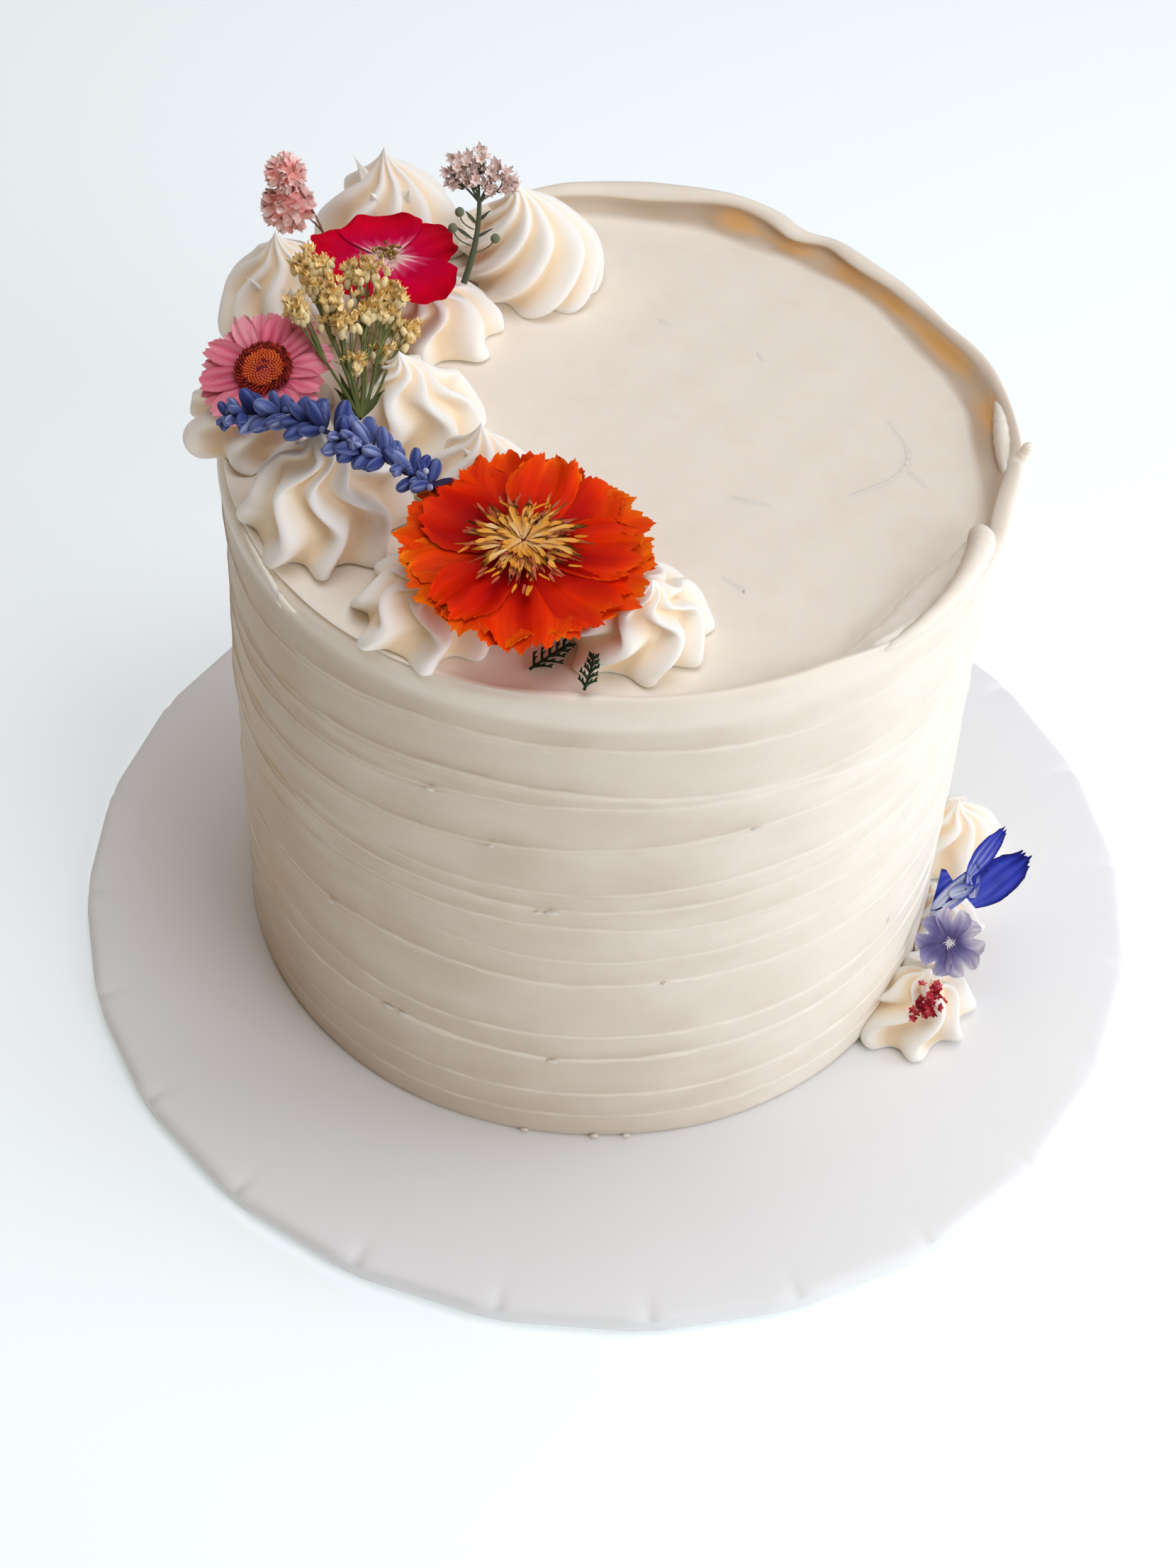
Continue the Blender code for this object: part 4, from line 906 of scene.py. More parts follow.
def make_daisy():
    centre, axes = plane_of("pink_daisy")
    draw = np.random.default_rng(13)
    sheaf = Sheaf()
    for layer in range(DAISY_PETALS):
        direction = 360.0 * layer / DAISY_PETALS + draw.uniform(-4.0, 4.0)
        length = DAISY_LENGTH * draw.uniform(0.90, 1.0)
        half = draw.uniform(2.3, 3.0)
        widths = (0.8, 0.62 * half, 0.82 * half, 0.95 * half, 1.05 * half, 1.08 * half, 0.85 * half)
        points, u, v = petal(length, widths, 900 + layer, tip=0.10, notch=0.07, teeth=0.03, ruffle=0.3,
                             rise=-0.5 if layer % 2 else 0.4, cup=0.5, columns=16, rows=22)
        points[..., 2] += 0.12 * (layer % 3) - 0.3
        groove = 0.14 * np.cos(9.0 * u) * np.sin(math.pi * v) ** 0.5
        tint = np.clip(0.15 + 0.62 * v + groove + 0.10 * draw.normal(), 0.0, 1.0)
        sheaf.add(lay(turned_by(points, direction), centre, axes), tint)
    finish_piece(sheaf.build("daisy_bloom", petal_material("pink_petal")), "pink_petal", "pink_daisy")
    sheaf = Sheaf()
    for index in range(DAISY_GRAINS):
        share = math.sqrt((index + 0.5) / DAISY_GRAINS)
        angle = index * GOLDEN_ANGLE
        reach = DAISY_MIDDLE * share
        dome = 1.5 * (1.0 - share ** 2) + 0.5 + (0.3 if share > DAISY_RING else 0.0)
        spot = np.array([reach * math.cos(angle), reach * math.sin(angle), dome])
        size = 0.20 + 0.20 * share
        tone = 0.75 if share < DAISY_RING else draw.uniform(0.0, 0.35)
        if share < 0.25 and draw.uniform() < 0.5:
            tone = 0.1
        axis = np.array([0.5 * math.cos(angle), 0.5 * math.sin(angle), 1.0])
        grain = bead(spot, (size, size * (2.0 if share > DAISY_RING else 1.1)), axis, 5, 6)
        tint = np.clip(tone + 0.08 * draw.normal(), 0, 1)
        sheaf.add(lay(grain, centre, axes), tint, closed=True)
    finish_piece(sheaf.build("daisy_bloom_middle", petal_material("daisy_middle")), "crimson_blossom")


def make_violet():
    centre, axes = plane_of("violet_flower")
    draw = np.random.default_rng(14)
    sheaf = Sheaf()
    half = VIOLET_HALF_WIDTH
    for layer in range(VIOLET_PETALS):
        direction = 72.0 * layer + 18.0 + draw.uniform(-4.0, 4.0)
        widths = (0.6, 0.35 * half, 0.6 * half, 0.85 * half, half, 1.02 * half, 0.82 * half)
        points, u, v = petal(VIOLET_LENGTH, widths, 950 + layer, tip=0.12, notch=0.34, teeth=0.01,
                             ruffle=0.25, rise=0.5, cup=0.3, columns=22, rows=20)
        points[..., 2] += 0.12 * layer - 0.3
        pale = 0.22 * math.cos(math.radians(direction - 20.0))
        tint = np.clip(v + 0.06 * np.sin(13.0 * u) * (1 - v) + pale * smoothstep(0.25, 0.5, v), 0.0, 1.0)
        sheaf.add(lay(turned_by(points, direction), centre, axes), tint)
    material = petal_material("violet_petal")
    finish_piece(sheaf.build("violet_bloom", material), "violet_petal", "violet_flower")


# Blue petals: length, half width, direction from +X in degrees, middle offset across and along, lift, pale
BLUE_PETALS = ((17.4, 4.6, 44, 7.6, 0.8, 0.9, 0.0), (13.5, 2.3, 56, 4.4, 7.0, 1.5, 0.35),
               (11.0, 5.2, 215, -8.0, -2.6, 0.3, 0.0), (18.0, 2.6, 44, -1.6, -2.2, 0.5, 0.95),
               (9.0, 1.8, 95, 1.5, 0.5, 1.0, 0.75), (6.0, 1.6, 20, -1.0, -2.5, 1.3, 0.9))
BLUE_SHIFT = np.array([-4.6, -0.6, 1.6])
WALL_GAP = 1.3


def clear_of_wall(points):
    """Lets a petal that would reach into the cake lie along its side."""
    near = np.hypot(points[..., 0], points[..., 1])
    push = np.maximum(near, TOP_RADIUS + WALL_GAP) / near
    cleared = points.copy()
    cleared[..., 0] *= push
    cleared[..., 1] *= push
    return cleared


def make_blue_petals():
    centre, axes = plane_of("blue_petals")
    centre = centre + BLUE_SHIFT - axes[2] * 0.3
    sheaf = Sheaf()
    for layer, (length, half, direction, across, along, lift, pale) in enumerate(BLUE_PETALS):
        widths = (0.35 * half, 0.75 * half, 0.95 * half, half, 0.95 * half, 0.8 * half, 0.5 * half)
        points, u, v = petal(length, widths, 980 + layer, tip=0.10, teeth=0.05, ruffle=0.5, cup=0.6,
                             columns=22, rows=26)
        points[..., 1] -= length / 2.0
        points = turned_by(points, direction) + np.array([across, along, lift])
        edge = 0.5 * np.abs(u) ** 5 + 0.4 * v ** 8
        tint = np.clip(0.55 - 0.25 * v + 0.12 * np.sin(11.0 * u + layer) - edge + pale * 0.55, 0.0, 1.0)
        sheaf.add(clear_of_wall(lay(points, centre, axes)), tint)
    finish_piece(sheaf.build("blue_fan", petal_material("blue_petal")), "blue_petal", "blue_petals")


CRIMSON_FLORETS = 36


def make_red_bits():
    low, high = box_of("red_bits")
    draw = np.random.default_rng(15)
    sheaf = Sheaf()
    for index in range(CRIMSON_FLORETS):
        t = index / (CRIMSON_FLORETS - 1.0)
        spot = low + (high - low) * np.array([0.18 + 0.5 * t, 0.12 + 0.75 * t, 0.2 + 0.6 * t])
        spot = spot + draw.normal(size=3) * np.array([1.7, 1.2, 0.7])
        spot = np.clip(spot, low - 0.3, high + 0.3)
        normal = np.array([0.1, -0.6, 0.8]) + 0.5 * draw.normal(size=3)
        axes = plane_axes(unit(normal))
        for side in range(5):
            points, _, v = petal(1.15, (0.12, 0.34, 0.46, 0.40, 0.2), 1000 + index * 5 + side, ruffle=0.15,
                                 rise=0.3, columns=5, rows=5)
            tint = np.clip(0.3 + 0.4 * v + 0.2 * draw.normal() + 0.2 * (t > 0.75), 0, 1)
            sheaf.add(lay(turned_by(points, 72.0 * side + index * 31.0), spot, axes), tint)
    material = petal_material("crimson_blossom")
    finish_piece(sheaf.build("crimson_florets", material), "crimson_blossom", "red_bits")


YELLOW_ROOT = (-50.5, -14.0, 149.0)
YELLOW_CLUSTERS = (
    (-63.4, 17.2, 162.0, 4.2), (-58.2, 9.8, 160.0, 3.6), (-52.7, 18.3, 160.0, 4.2), (-46.6, 14.2, 157.0, 3.6),
    (-43.5, 10.0, 152.0, 3.2), (-64.4, 4.6, 160.0, 3.2), (-56.0, 4.6, 157.0, 3.4), (-52.9, -2.1, 152.0, 2.4),
    (-48.2, 4.0, 151.0, 2.8), (-61.3, 11.3, 161.0, 3.4), (-50.8, 10.6, 157.0, 3.2), (-47.0, 11.0, 155.0, 2.8),
)
YELLOW_SHIFT = np.array([-1.2, -0.6, -0.8])
WHITE_ROOT = (-33.8, 36.0, 148.0)
WHITE_CLUSTERS = ((-35.9, 50.0, 168.0, 2.4), (-32.0, 50.5, 169.0, 2.6), (-27.9, 49.5, 168.0, 2.6),
                  (-25.1, 48.5, 165.0, 2.4), (-29.0, 47.0, 164.5, 2.4), (-36.6, 49.0, 165.5, 2.0),
                  (-32.6, 47.5, 166.0, 2.4))
SPRIG_DROP = np.array([-0.8, 0.0, -3.4])


def shift_onto(node, root, tips):
    """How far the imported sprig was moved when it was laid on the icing."""
    low, high = box_of(node)
    ends = np.array([tip[:3] for tip in tips])
    reach = np.array([tip[3:] for tip in tips])
    least = np.minimum(np.array(root), (ends - reach).min(axis=0))
    most = np.maximum(np.array(root), (ends + reach).max(axis=0))
    return (low + high) / 2.0 - (least + most) / 2.0


def floret(sheaf, spot, axis, size, draw, petals, tone):
    """A small spiky floret opening along an axis."""
    axis = unit(axis)
    guide = np.array([0.3, 0.9, 0.2]) if abs(axis[1]) < 0.8 else np.array([0.9, 0.1, 0.3])
    axes = plane_axes(axis, guide)
    widths = (0.25 * size, 0.34 * size, 0.28 * size, 0.08 * size)
    for index in range(petals):
        points, _, v = petal(size, widths, int(draw.integers(1e6)), rise=size * draw.uniform(0.7, 1.5),
                             columns=3, rows=4)
        turn = 360.0 * index / petals + draw.uniform(-20.0, 20.0)
        tint = np.clip(tone + 0.45 * v + 0.1 * draw.normal(), 0, 1)
        sheaf.add(lay(turned_by(points, turn), spot, axes), tint)


def make_yellow_sprig():
    shift = YELLOW_SHIFT + 0.3 * shift_onto("yellow_sprig", YELLOW_ROOT, YELLOW_CLUSTERS)
    draw = np.random.default_rng(16)
    root = np.array(YELLOW_ROOT) + shift
    blossoms, stems = Sheaf(), Sheaf()
    for x, y, z, size in YELLOW_CLUSTERS:
        tip = np.array([x, y, z]) + shift
        way = tip - root
        fork = root + way * 0.55 + np.array([0.0, 0.0, -0.6])
        stems.add(tube(bow(root, fork, (0.4, 0.0, -0.5)), np.linspace(0.42, 0.28, 8)), 0.4, closed=True)
        for number in range(int(6.5 * size)):
            spot = tip + draw.normal(size=3) * np.array([0.40, 0.42, 0.24]) * size
            if number % 3 == 0:
                path = bow(fork, spot, draw.normal(size=3) * 0.3 - np.array([0.0, 0.0, 0.8]), 6)
                stems.add(tube(path, np.linspace(0.26, 0.15, 6), 5), 0.7, closed=True)
            axis = way / np.linalg.norm(way) + np.array([0.0, -0.3, 0.9]) + 0.45 * draw.normal(size=3)
            blossoms.add(bead(spot, (0.80, 1.3), axis, 6, 7), 0.34 + 0.12 * draw.normal(), closed=True)
            floret(blossoms, spot + 0.7 * axis, axis, 1.35, draw, 8, 0.42)
    for bend, length, lift in ((115.0, 13.0, 2.0), (128.0, 10.0, 1.2), (60.0, 9.0, 1.5)):
        points, _, v = petal(length, (0.3, 0.8, 1.0, 0.9, 0.5, 0.1), int(bend), rise=lift, cup=0.4,
                             columns=6, rows=14)
        stems.add(root + turned_by(points, bend), 0.15 + 0.2 * v)
    material = petal_material("yellow_floret")
    finish_piece(blossoms.build("yellow_florets", material), "yellow_blossom", "yellow_sprig")
    finish_piece(stems.build("yellow_floret_stems", petal_material("green_stem")), "dark_green_leaf")


def make_white_sprig():
    shift = shift_onto("white_sprig", WHITE_ROOT, WHITE_CLUSTERS[:5]) + SPRIG_DROP
    draw = np.random.default_rng(17)
    root = np.array(WHITE_ROOT) + shift
    crown = root + np.array([2.6, 9.0, 14.5])
    blossoms, stems = Sheaf(), Sheaf()
    stems.add(tube(bow(root, crown, (0.8, 0.0, 0.3), 12), np.linspace(0.75, 0.5, 12), 7), 0.3, closed=True)
    for x, y, z, size in WHITE_CLUSTERS:
        tip = np.array([x, y, z]) + shift
        stems.add(tube(bow(crown, tip, (0.0, 0.3, 0.2)), 0.26, 5), 0.4, closed=True)
        for _ in range(10):
            spot = tip + draw.normal(size=3) * np.array([0.44, 0.4, 0.42]) * size
            stalk = bow(tip - 0.4 * (tip - crown), spot, draw.normal(size=3) * 0.3, 5)
            stems.add(tube(stalk, 0.14, 4), 0.5, closed=True)
            axis = np.array([0.0, -0.6, 0.8]) + 0.5 * draw.normal(size=3)
            blossoms.add(bead(spot, (0.5, 0.6), axis, 5, 6), 0.15, closed=True)
            floret(blossoms, spot, axis, 1.5, draw, 6, 0.60)
    for bend, reach in ((150.0, 5.2), (25.0, 5.0), (140.0, 3.2), (40.0, 4.2)):
        start = root + (crown - root) * (0.55 if reach > 4.5 else 0.75)
        points, _, v = petal(reach, (0.15, 0.45, 0.55, 0.4, 0.1), int(bend), rise=1.6, columns=5, rows=10)
        stems.add(start + turned_by(points, bend), 0.2 + 0.3 * v)
    for side, up, reach in ((-1.0, 0.92, 3.2), (-1.0, 0.72, 4.0), (1.0, 0.62, 5.4)):
        start = root + (crown - root) * (up - 0.25)
        pod = start + np.array([side * reach, 1.2, 3.4])
        stems.add(tube(bow(start, pod, (side * 0.8, 0.0, -0.5), 7), 0.16, 5), 0.5, closed=True)
        stems.add(bead(pod, (1.05, 1.15), (0.2, -0.3, 1.0), 8, 10), 0.75, closed=True)
    material = petal_material("pale_floret")
    finish_piece(blossoms.build("pale_florets", material), "pale_blossom", "white_sprig")
    finish_piece(stems.build("pale_floret_stems", petal_material("grey_green_stem")), "dark_green_leaf")


PINK_ROOT = (-65.5, 45.0, 152.0)
PINK_BLOSSOMS = ((-73.1, 45.4, 166.7, 4.3), (-72.9, 45.2, 158.4, 5.7))
PINK_LIFT = 1.9
PINK_SCALES = 90


def make_pink_blossoms():
    _, _, highest, reach = PINK_BLOSSOMS[0]
    top = box_of("pink_blossoms")[1][2]
    shift = np.array([0.0, 0.0, top - highest - reach + PINK_LIFT])
    draw = np.random.default_rng(18)
    blossoms, stems = Sheaf(), Sheaf()
    root = np.array(PINK_ROOT) + shift
    for x, y, z, size in PINK_BLOSSOMS:
        middle = np.array([x, y, z]) + shift
        stems.add(tube(bow(root, middle, (0.6, 0.0, 0.5)), 0.22, 5), 0.3, closed=True)
        blossoms.add(bead(middle, (0.68 * size, 0.68 * size), (0.0, 0.0, 1.0), 9, 12), 0.35, closed=True)
        for index in range(PINK_SCALES):
            up = 1.0 - 2.0 * (index + 0.5) / PINK_SCALES
            angle = index * GOLDEN_ANGLE
            flat = math.sqrt(1.0 - up * up)
            axis = np.array([flat * math.cos(angle), flat * math.sin(angle), up])
            guide = np.array([0.2, 0.3, 0.93]) if abs(axis[2]) < 0.8 else np.array([0.95, 0.1, 0.2])
            axes = plane_axes(axis, guide)
            widths = (0.14 * size, 0.2 * size, 0.2 * size, 0.13 * size)
            points, _, v = petal(0.42 * size, widths, 1200 + index, tip=0.2, teeth=0.06, ruffle=0.25,
                                 cup=0.4, rise=0.34 * size, columns=7, rows=6)
            spot = middle + axis * 0.60 * size
            tint = np.clip(0.38 + 0.6 * v + 0.12 * draw.normal(), 0.0, 1.0)
            blossoms.add(lay(turned_by(points, draw.uniform(0.0, 360.0)), spot, axes), tint)
    material = petal_material("pink_blossom")
    finish_piece(blossoms.build("pink_pompoms", material), "pink_blossom", "pink_blossoms")
    finish_piece(stems.build("pink_pompom_stems", petal_material("pink_stem")), "pink_blossom")


SPIKE_ROUTE = ((-78.7, -19.3, 151.0), (-72.3, -19.1, 152.0), (-65.1, -21.4, 154.0), (-58.8, -26.0, 155.5),
               (-52.2, -29.7, 155.5), (-46.2, -31.4, 154.0), (-39.9, -33.9, 152.0), (-34.8, -36.0, 150.5))
SPIKE_WHORLS = 14
# Bare shoots: place on the stalk, and how far they reach
SPIKE_SHOOTS = ((17, (1.0, 6.0, 1.2)), (-1, (3.0, 2.0, 0.4)), (-8, (3.0, -3.0, 0.2)))
SPIKE_SHIFT = np.array([1.6, 0.0, 0.0])


def wrinkled(spot, way, size, draw):
    """A crinkled drop-shaped bud and a tone for each of its points."""
    rings, sides = 12, 10
    grid = bead(spot + way * 0.62 * size, (0.30 * size, 0.62 * size), way, rings, sides)
    turn = np.arange(sides) * 2.5 + draw.uniform(0.0, TAU)
    along = np.linspace(0.0, 1.0, rings)[:, None]
    core = grid.mean(axis=1, keepdims=True)
    swell = (0.62 + 0.55 * along + 0.15 * np.sin(turn)[None, :])[:, :, None]
    tone = 0.42 + 0.22 * np.sin(turn)[None, :] + 0.10 * draw.normal() + 0.22 * along ** 2
    return core + (grid - core) * swell, np.clip(tone, 0.0, 1.0)


def make_blue_spike():
    low, high = box_of("blue_spike")
    route = np.array(SPIKE_ROUTE)
    route = route + (low + high) / 2.0 - (route.min(axis=0) + route.max(axis=0)) / 2.0 + SPIKE_SHIFT
    path = np.array(catmull(list(route), 6))
    draw = np.random.default_rng(19)
    buds, stems = Sheaf(), Sheaf()
    stems.add(tube(path, np.linspace(0.4, 0.7, len(path)), 6), 0.2, closed=True)
    for whorl in range(SPIKE_WHORLS):
        share = (whorl + 0.4) / SPIKE_WHORLS
        index = min(int(share * (len(path) - 1)), len(path) - 2)
        spot = path[index] + (path[index + 1] - path[index]) * (share * (len(path) - 1) - index)
        ahead = path[index + 1] - path[index]
        ahead /= np.linalg.norm(ahead)
        side = np.array([ahead[1], -ahead[0], 0.0])
        full = math.sin(math.pi * (0.12 + 0.70 * share))
        for hand in (-1.0, -0.55, 0.1, 0.7, 1.0):
            lift = np.array([0.0, 0.0, 0.55 * (1.2 - abs(hand))])
            way = unit(side * hand + lift - 0.35 * ahead + 0.22 * draw.normal(size=3))
            way[2] = max(way[2], -0.05)
            size = 2.2 + 3.2 * full + 0.6 * draw.normal()
            grid, tone = wrinkled(spot + 0.5 * draw.normal() * ahead, way, size, draw)
            buds.add(grid, tone, closed=True)
        for _ in range(2):
            knob = spot + np.array([0.0, 0.0, 1.0]) + 1.3 * draw.normal(size=3) * np.array([1.0, 1.0, 0.25])
            knob_tone = np.clip(0.85 + 0.1 * draw.normal(), 0.0, 1.0)
            buds.add(bead(knob, (0.7, 0.85), (0.2, -0.3, 1.0), 7, 8), knob_tone, closed=True)
    for place, reach in SPIKE_SHOOTS:
        shoot = bow(path[place], path[place] + np.array(reach), (0.0, 0.0, 0.4), 6)
        stems.add(tube(shoot, np.linspace(1.0, 0.5, 6), 6), 0.1, closed=True)
    finish_piece(buds.build("blue_buds", petal_material("blue_bud")), "blue_blossom", "blue_spike")
    finish_piece(stems.build("blue_bud_stem", petal_material("dark_stem")), "blue_blossom")


# Ferns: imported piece, reach of the needles, foot and tip from the piece's middle
FERNS = (
    ("fern_1", 3.4, ((-4.2, -3.0, 0.2), (3.2, 4.6, 0.6))),
    ("fern_2", 2.2, ((-0.4, -4.6, 0.2), (1.0, 4.8, 0.6))),
)


def make_fern(node, spread, bends):
    """A feathery sprig: a thin stalk with forked needles on both sides."""
    low, high = box_of(node)
    middle = (low + high) / 2.0
    start = middle + np.array(bends[0])
    end = middle + np.array(bends[1])
    draw = np.random.default_rng(int(abs(middle[0]) * 10))
    sheaf = Sheaf()
    path = bow(start, end, (0.3, 0.0, 0.3), 12)
    sheaf.add(tube(path, np.linspace(0.34, 0.20, 12), 5), 0.5, closed=True)
    ahead = (end - start) / np.linalg.norm(end - start)
    side = np.array([ahead[1], -ahead[0], 0.0])
    for index in range(1, 11, 2):
        for hand in (-1.0, 1.0):
            reach = spread * (1.0 - 0.06 * index) * draw.uniform(0.8, 1.1)
            droop = np.array([0.0, 0.0, 0.2 * draw.normal()])
            tip = path[index] + (ahead * 0.9 + side * hand) * reach + droop
            needle = bow(path[index], tip, (0.0, 0.0, 0.3), 6)
            sheaf.add(tube(needle, np.linspace(0.34, 0.16, 6), 5), 0.4 + 0.2 * draw.normal(), closed=True)
            for fork in (2, 4):
                twig = needle[fork] + (ahead + side * hand * 0.2) * 1.1
                twig = bow(needle[fork], twig, (0.0, 0.0, 0.1), 4)
                sheaf.add(tube(twig, (0.26, 0.24, 0.2, 0.1), 4), 0.5, closed=True)
    material = petal_material("fern_needles_" + node, "fern_needles")
    finish_piece(sheaf.build("sprig_" + node, material), "dark_green_leaf", node)


# Right of the front the rim was folded inwards: angle, radii of the flap's inner edge and of its crease
FLAP = ((34.0, 79.4, 81.6), (39.0, 78.6, 83.2), (44.0, 77.8, 83.8), (49.0, 76.6, 83.7), (53.5, 75.9, 83.3),
        (58.5, 76.4, 82.6), (63.0, 77.6, 81.6), (66.5, 78.6, 80.6))
# Section of the flap: share of the way from its inner edge to the crease, height over the top
FLAP_SECTION = ((0.16, -0.3), (0.08, 0.4), (0.02, 1.2), (0.0, 2.0), (0.03, 2.6), (0.10, 3.0), (0.28, 3.3),
                (0.50, 3.5), (0.70, 3.9), (0.86, 4.2), (0.96, 3.7), (1.05, 1.8))
# Ropes: angle, radius, height over the top and thickness, of the curled end, a bulge, a nub and a torn shred
FOLD = ((40.0, 84.2, 2.4, 0.05), (42.0, 84.2, 2.8, 0.8), (46.5, 84.3, 3.4, 1.3), (51.5, 84.2, 3.9, 1.7),
        (56.5, 83.9, 4.3, 2.1), (60.5, 83.3, 4.5, 2.5), (64.0, 82.6, 4.5, 2.75), (66.0, 81.9, 4.4, 2.8),
        (67.2, 81.1, 4.1, 2.6), (68.1, 80.3, 3.7, 2.1), (68.6, 79.7, 3.3, 1.3), (68.8, 79.5, 3.2, 0.05))
BULGE = ((101.5, 82.2, 2.2, 0.05), (98.0, 81.9, 2.5, 1.0), (94.5, 81.5, 2.6, 1.6), (91.0, 81.3, 2.5, 1.8),
         (87.5, 81.4, 2.4, 1.6), (84.5, 81.8, 2.4, 1.1), (81.5, 82.3, 2.2, 0.05))
NUB = ((85.0, 82.6, 0.5, 0.05), (85.3, 83.6, 2.5, 1.9), (85.8, 84.7, 4.3, 1.45), (86.2, 85.5, 5.8, 1.3),
       (86.4, 86.0, 6.8, 1.2), (86.5, 86.2, 7.4, 0.7), (86.5, 86.3, 7.7, 0.05))
TEAR = ((-62.0, 82.4, 1.0, 0.1), (-58.0, 82.9, 1.2, 0.5), (-54.0, 83.4, 0.6, 0.6), (-51.0, 83.9, -0.2, 0.75),
        (-49.6, 84.3, -1.2, 0.8), (-49.0, 84.5, -2.2, 0.5), (-48.8, 84.5, -3.0, 0.05))
TEAR_FORK = ((-52.5, 83.7, -0.1, 0.1), (-50.5, 84.0, -0.5, 0.6), (-48.0, 84.3, -1.0, 0.6),
             (-46.2, 84.3, -1.1, 0.4), (-45.4, 84.2, -1.0, 0.05))
# Faint raised scratches on the flat top, as points to the right of the axis and behind it
SCRATCHES = (
    ((54.2, 14.2), (58.8, 6.8), (61.5, 0.5), (61.2, -5.5), (57.4, -10.6), (51.0, -15.0), (44.6, -17.6)),
    ((61.2, -6.8), (64.0, -10.2), (65.6, -12.8)), ((23.0, -18.0), (29.5, -19.6), (33.5, -21.0)),
    ((8.0, 40.0), (12.0, 37.4)), ((30.0, 30.0), (31.5, 26.5)), ((22.0, -42.0), (27.0, -46.0), (27.6, -47.4)),
)
SCRATCH_RADIUS = 2.0
SCRATCH_SUNK = 1.962
# Painted highlight along the scratches
SCRATCH_HIGHLIGHT = -0.12
# Flakes dragged up by the comb: angle, height, length, thickness
FLAKES = (
    (-31.0, 29.2, 1.6, 0.42), (-28.5, 29.3, 1.1, 0.35), (-4.0, 27.6, 1.3, 0.45),
    (-5.0, 77.6, 1.5, 0.45), (-7.0, 77.3, 0.9, 0.35),
    (23.5, 99.6, 1.3, 0.35), (-42.0, 52.6, 1.2, 0.35), (-23.0, 106.2, 1.2, 0.35),
    (12.0, 54.8, 0.9, 0.3), (-14.0, 94.8, 0.8, 0.3),
    (3.0, 1.0, 1.0, 0.55), (8.0, 0.9, 0.8, 0.45), (-8.0, 0.9, 0.9, 0.4),
)


def rope_along(sheaf, rows, sides=14, tint=0.0):
    """A rounded rope of icing along (angle, radius, height over the top, thickness) rows, with painted golden
    shade on its inner side.
    """
    rows = np.array(catmull([np.array(row, float) for row in rows], 5))
    path = round_points(rows[:, 1], np.radians(rows[:, 0]), CAKE_TOP + rows[:, 2])
    lumps = 1.0 + 0.05 * np.sin(1.7 * np.arange(len(rows)))
    grid = tube(path, rows[:, 3] * lumps, sides)
    outward = np.hypot(grid[..., 0], grid[..., 1]) - rows[:, 1, None]
    inner_side_shade = smoothstep(0.2, 1.0, -outward / np.maximum(rows[:, 3, None], 0.3))
    sheaf.add(grid, tint * inner_side_shade, closed=True)


def make_icing_details(material):
    """Folds, tears, flakes and scratches that the spatula left on the cake, with painted golden shade in the
    flap's crease and on the inner sides of the fold and the bulge, and a painted highlight on the scratches.
    """
    sheaf = Sheaf()
    table = np.array(catmull([np.array(row, float) for row in FLAP], 6))
    turn = np.radians(table[:, 0])
    ease = np.minimum(1.0, 4.0 * np.linspace(0.0, 1.0, len(turn)) + 0.15)
    inner, crease = table[:, 1], table[:, 2]
    round_once = np.linspace(0.0, TAU, len(turn))
    wobble = 0.16 * np.sin(9.0 * round_once) + 0.1 * np.sin(4.0 * round_once)
    rows = np.array([round_points(inner + wobble + (crease - inner) * across, turn, CAKE_TOP + up * ease)
                     for across, up in FLAP_SECTION])
    steps = np.arange(len(FLAP_SECTION))
    rows[..., 2] += 0.12 * np.sin(1.3 * np.arange(len(turn)))[None, :] * np.sin(0.9 * steps)[:, None]
    # Painted golden shade along the flap's crease, strongest near 56 degrees
    crease_shade = np.exp(-((table[:, 0] - 56.0) / 7.0) ** 2)
    tint = 0.75 * smoothstep(7.5, 10.0, steps + 0.0)[:, None] * crease_shade[None, :]
    sheaf.add(rows[:, ::-1], tint[:, ::-1])
    rope_along(sheaf, FOLD, 24, 0.35)
    rope_along(sheaf, BULGE, 32, 0.3)
    rope_along(sheaf, NUB, 12)
    rope_along(sheaf, TEAR, 8)
    rope_along(sheaf, TEAR_FORK, 8)
    for points in SCRATCHES:
        path = np.array(catmull([np.array([x, y, CAKE_TOP]) for x, y in points], 8))
        share = np.linspace(0.0, 1.0, len(path))
        edge = smoothstep(0.0, 0.3, 1.0 - np.hypot(path[:, 0], path[:, 1]) / 78.0)
        path[:, 2] += top_relief(path[:, 0], path[:, 1]) * edge - SCRATCH_SUNK
        path[:, :2] += 0.25 * np.sin(np.arange(len(path)) * 2.1)[:, None] * np.array([0.6, 0.4])
        radii = SCRATCH_RADIUS + 0.012 * np.sin(17.0 * share) - 0.3 * (2.0 * share - 1.0) ** 8
        sheaf.add(tube(path, radii, 96), SCRATCH_HIGHLIGHT, closed=True)
    draw = np.random.default_rng(77)
    for angle, height, length, thick in FLAKES:
        turn = math.radians(angle)
        radius = FOOT_RADIUS + (TOP_RADIUS - FOOT_RADIUS) * height / CAKE_TOP + 0.45
        spot = round_points(radius, turn, height)
        along = np.array([math.cos(turn), math.sin(turn), 0.12 * draw.normal()])
        grid = bead(spot, (thick, length), along, 8, 8)
        grid = grid + draw.normal(size=grid.shape) * 0.07
        sheaf.add(grid, 0.0, closed=True)
    finish_piece(sheaf.build("icing_folds", material), "ivory_icing")


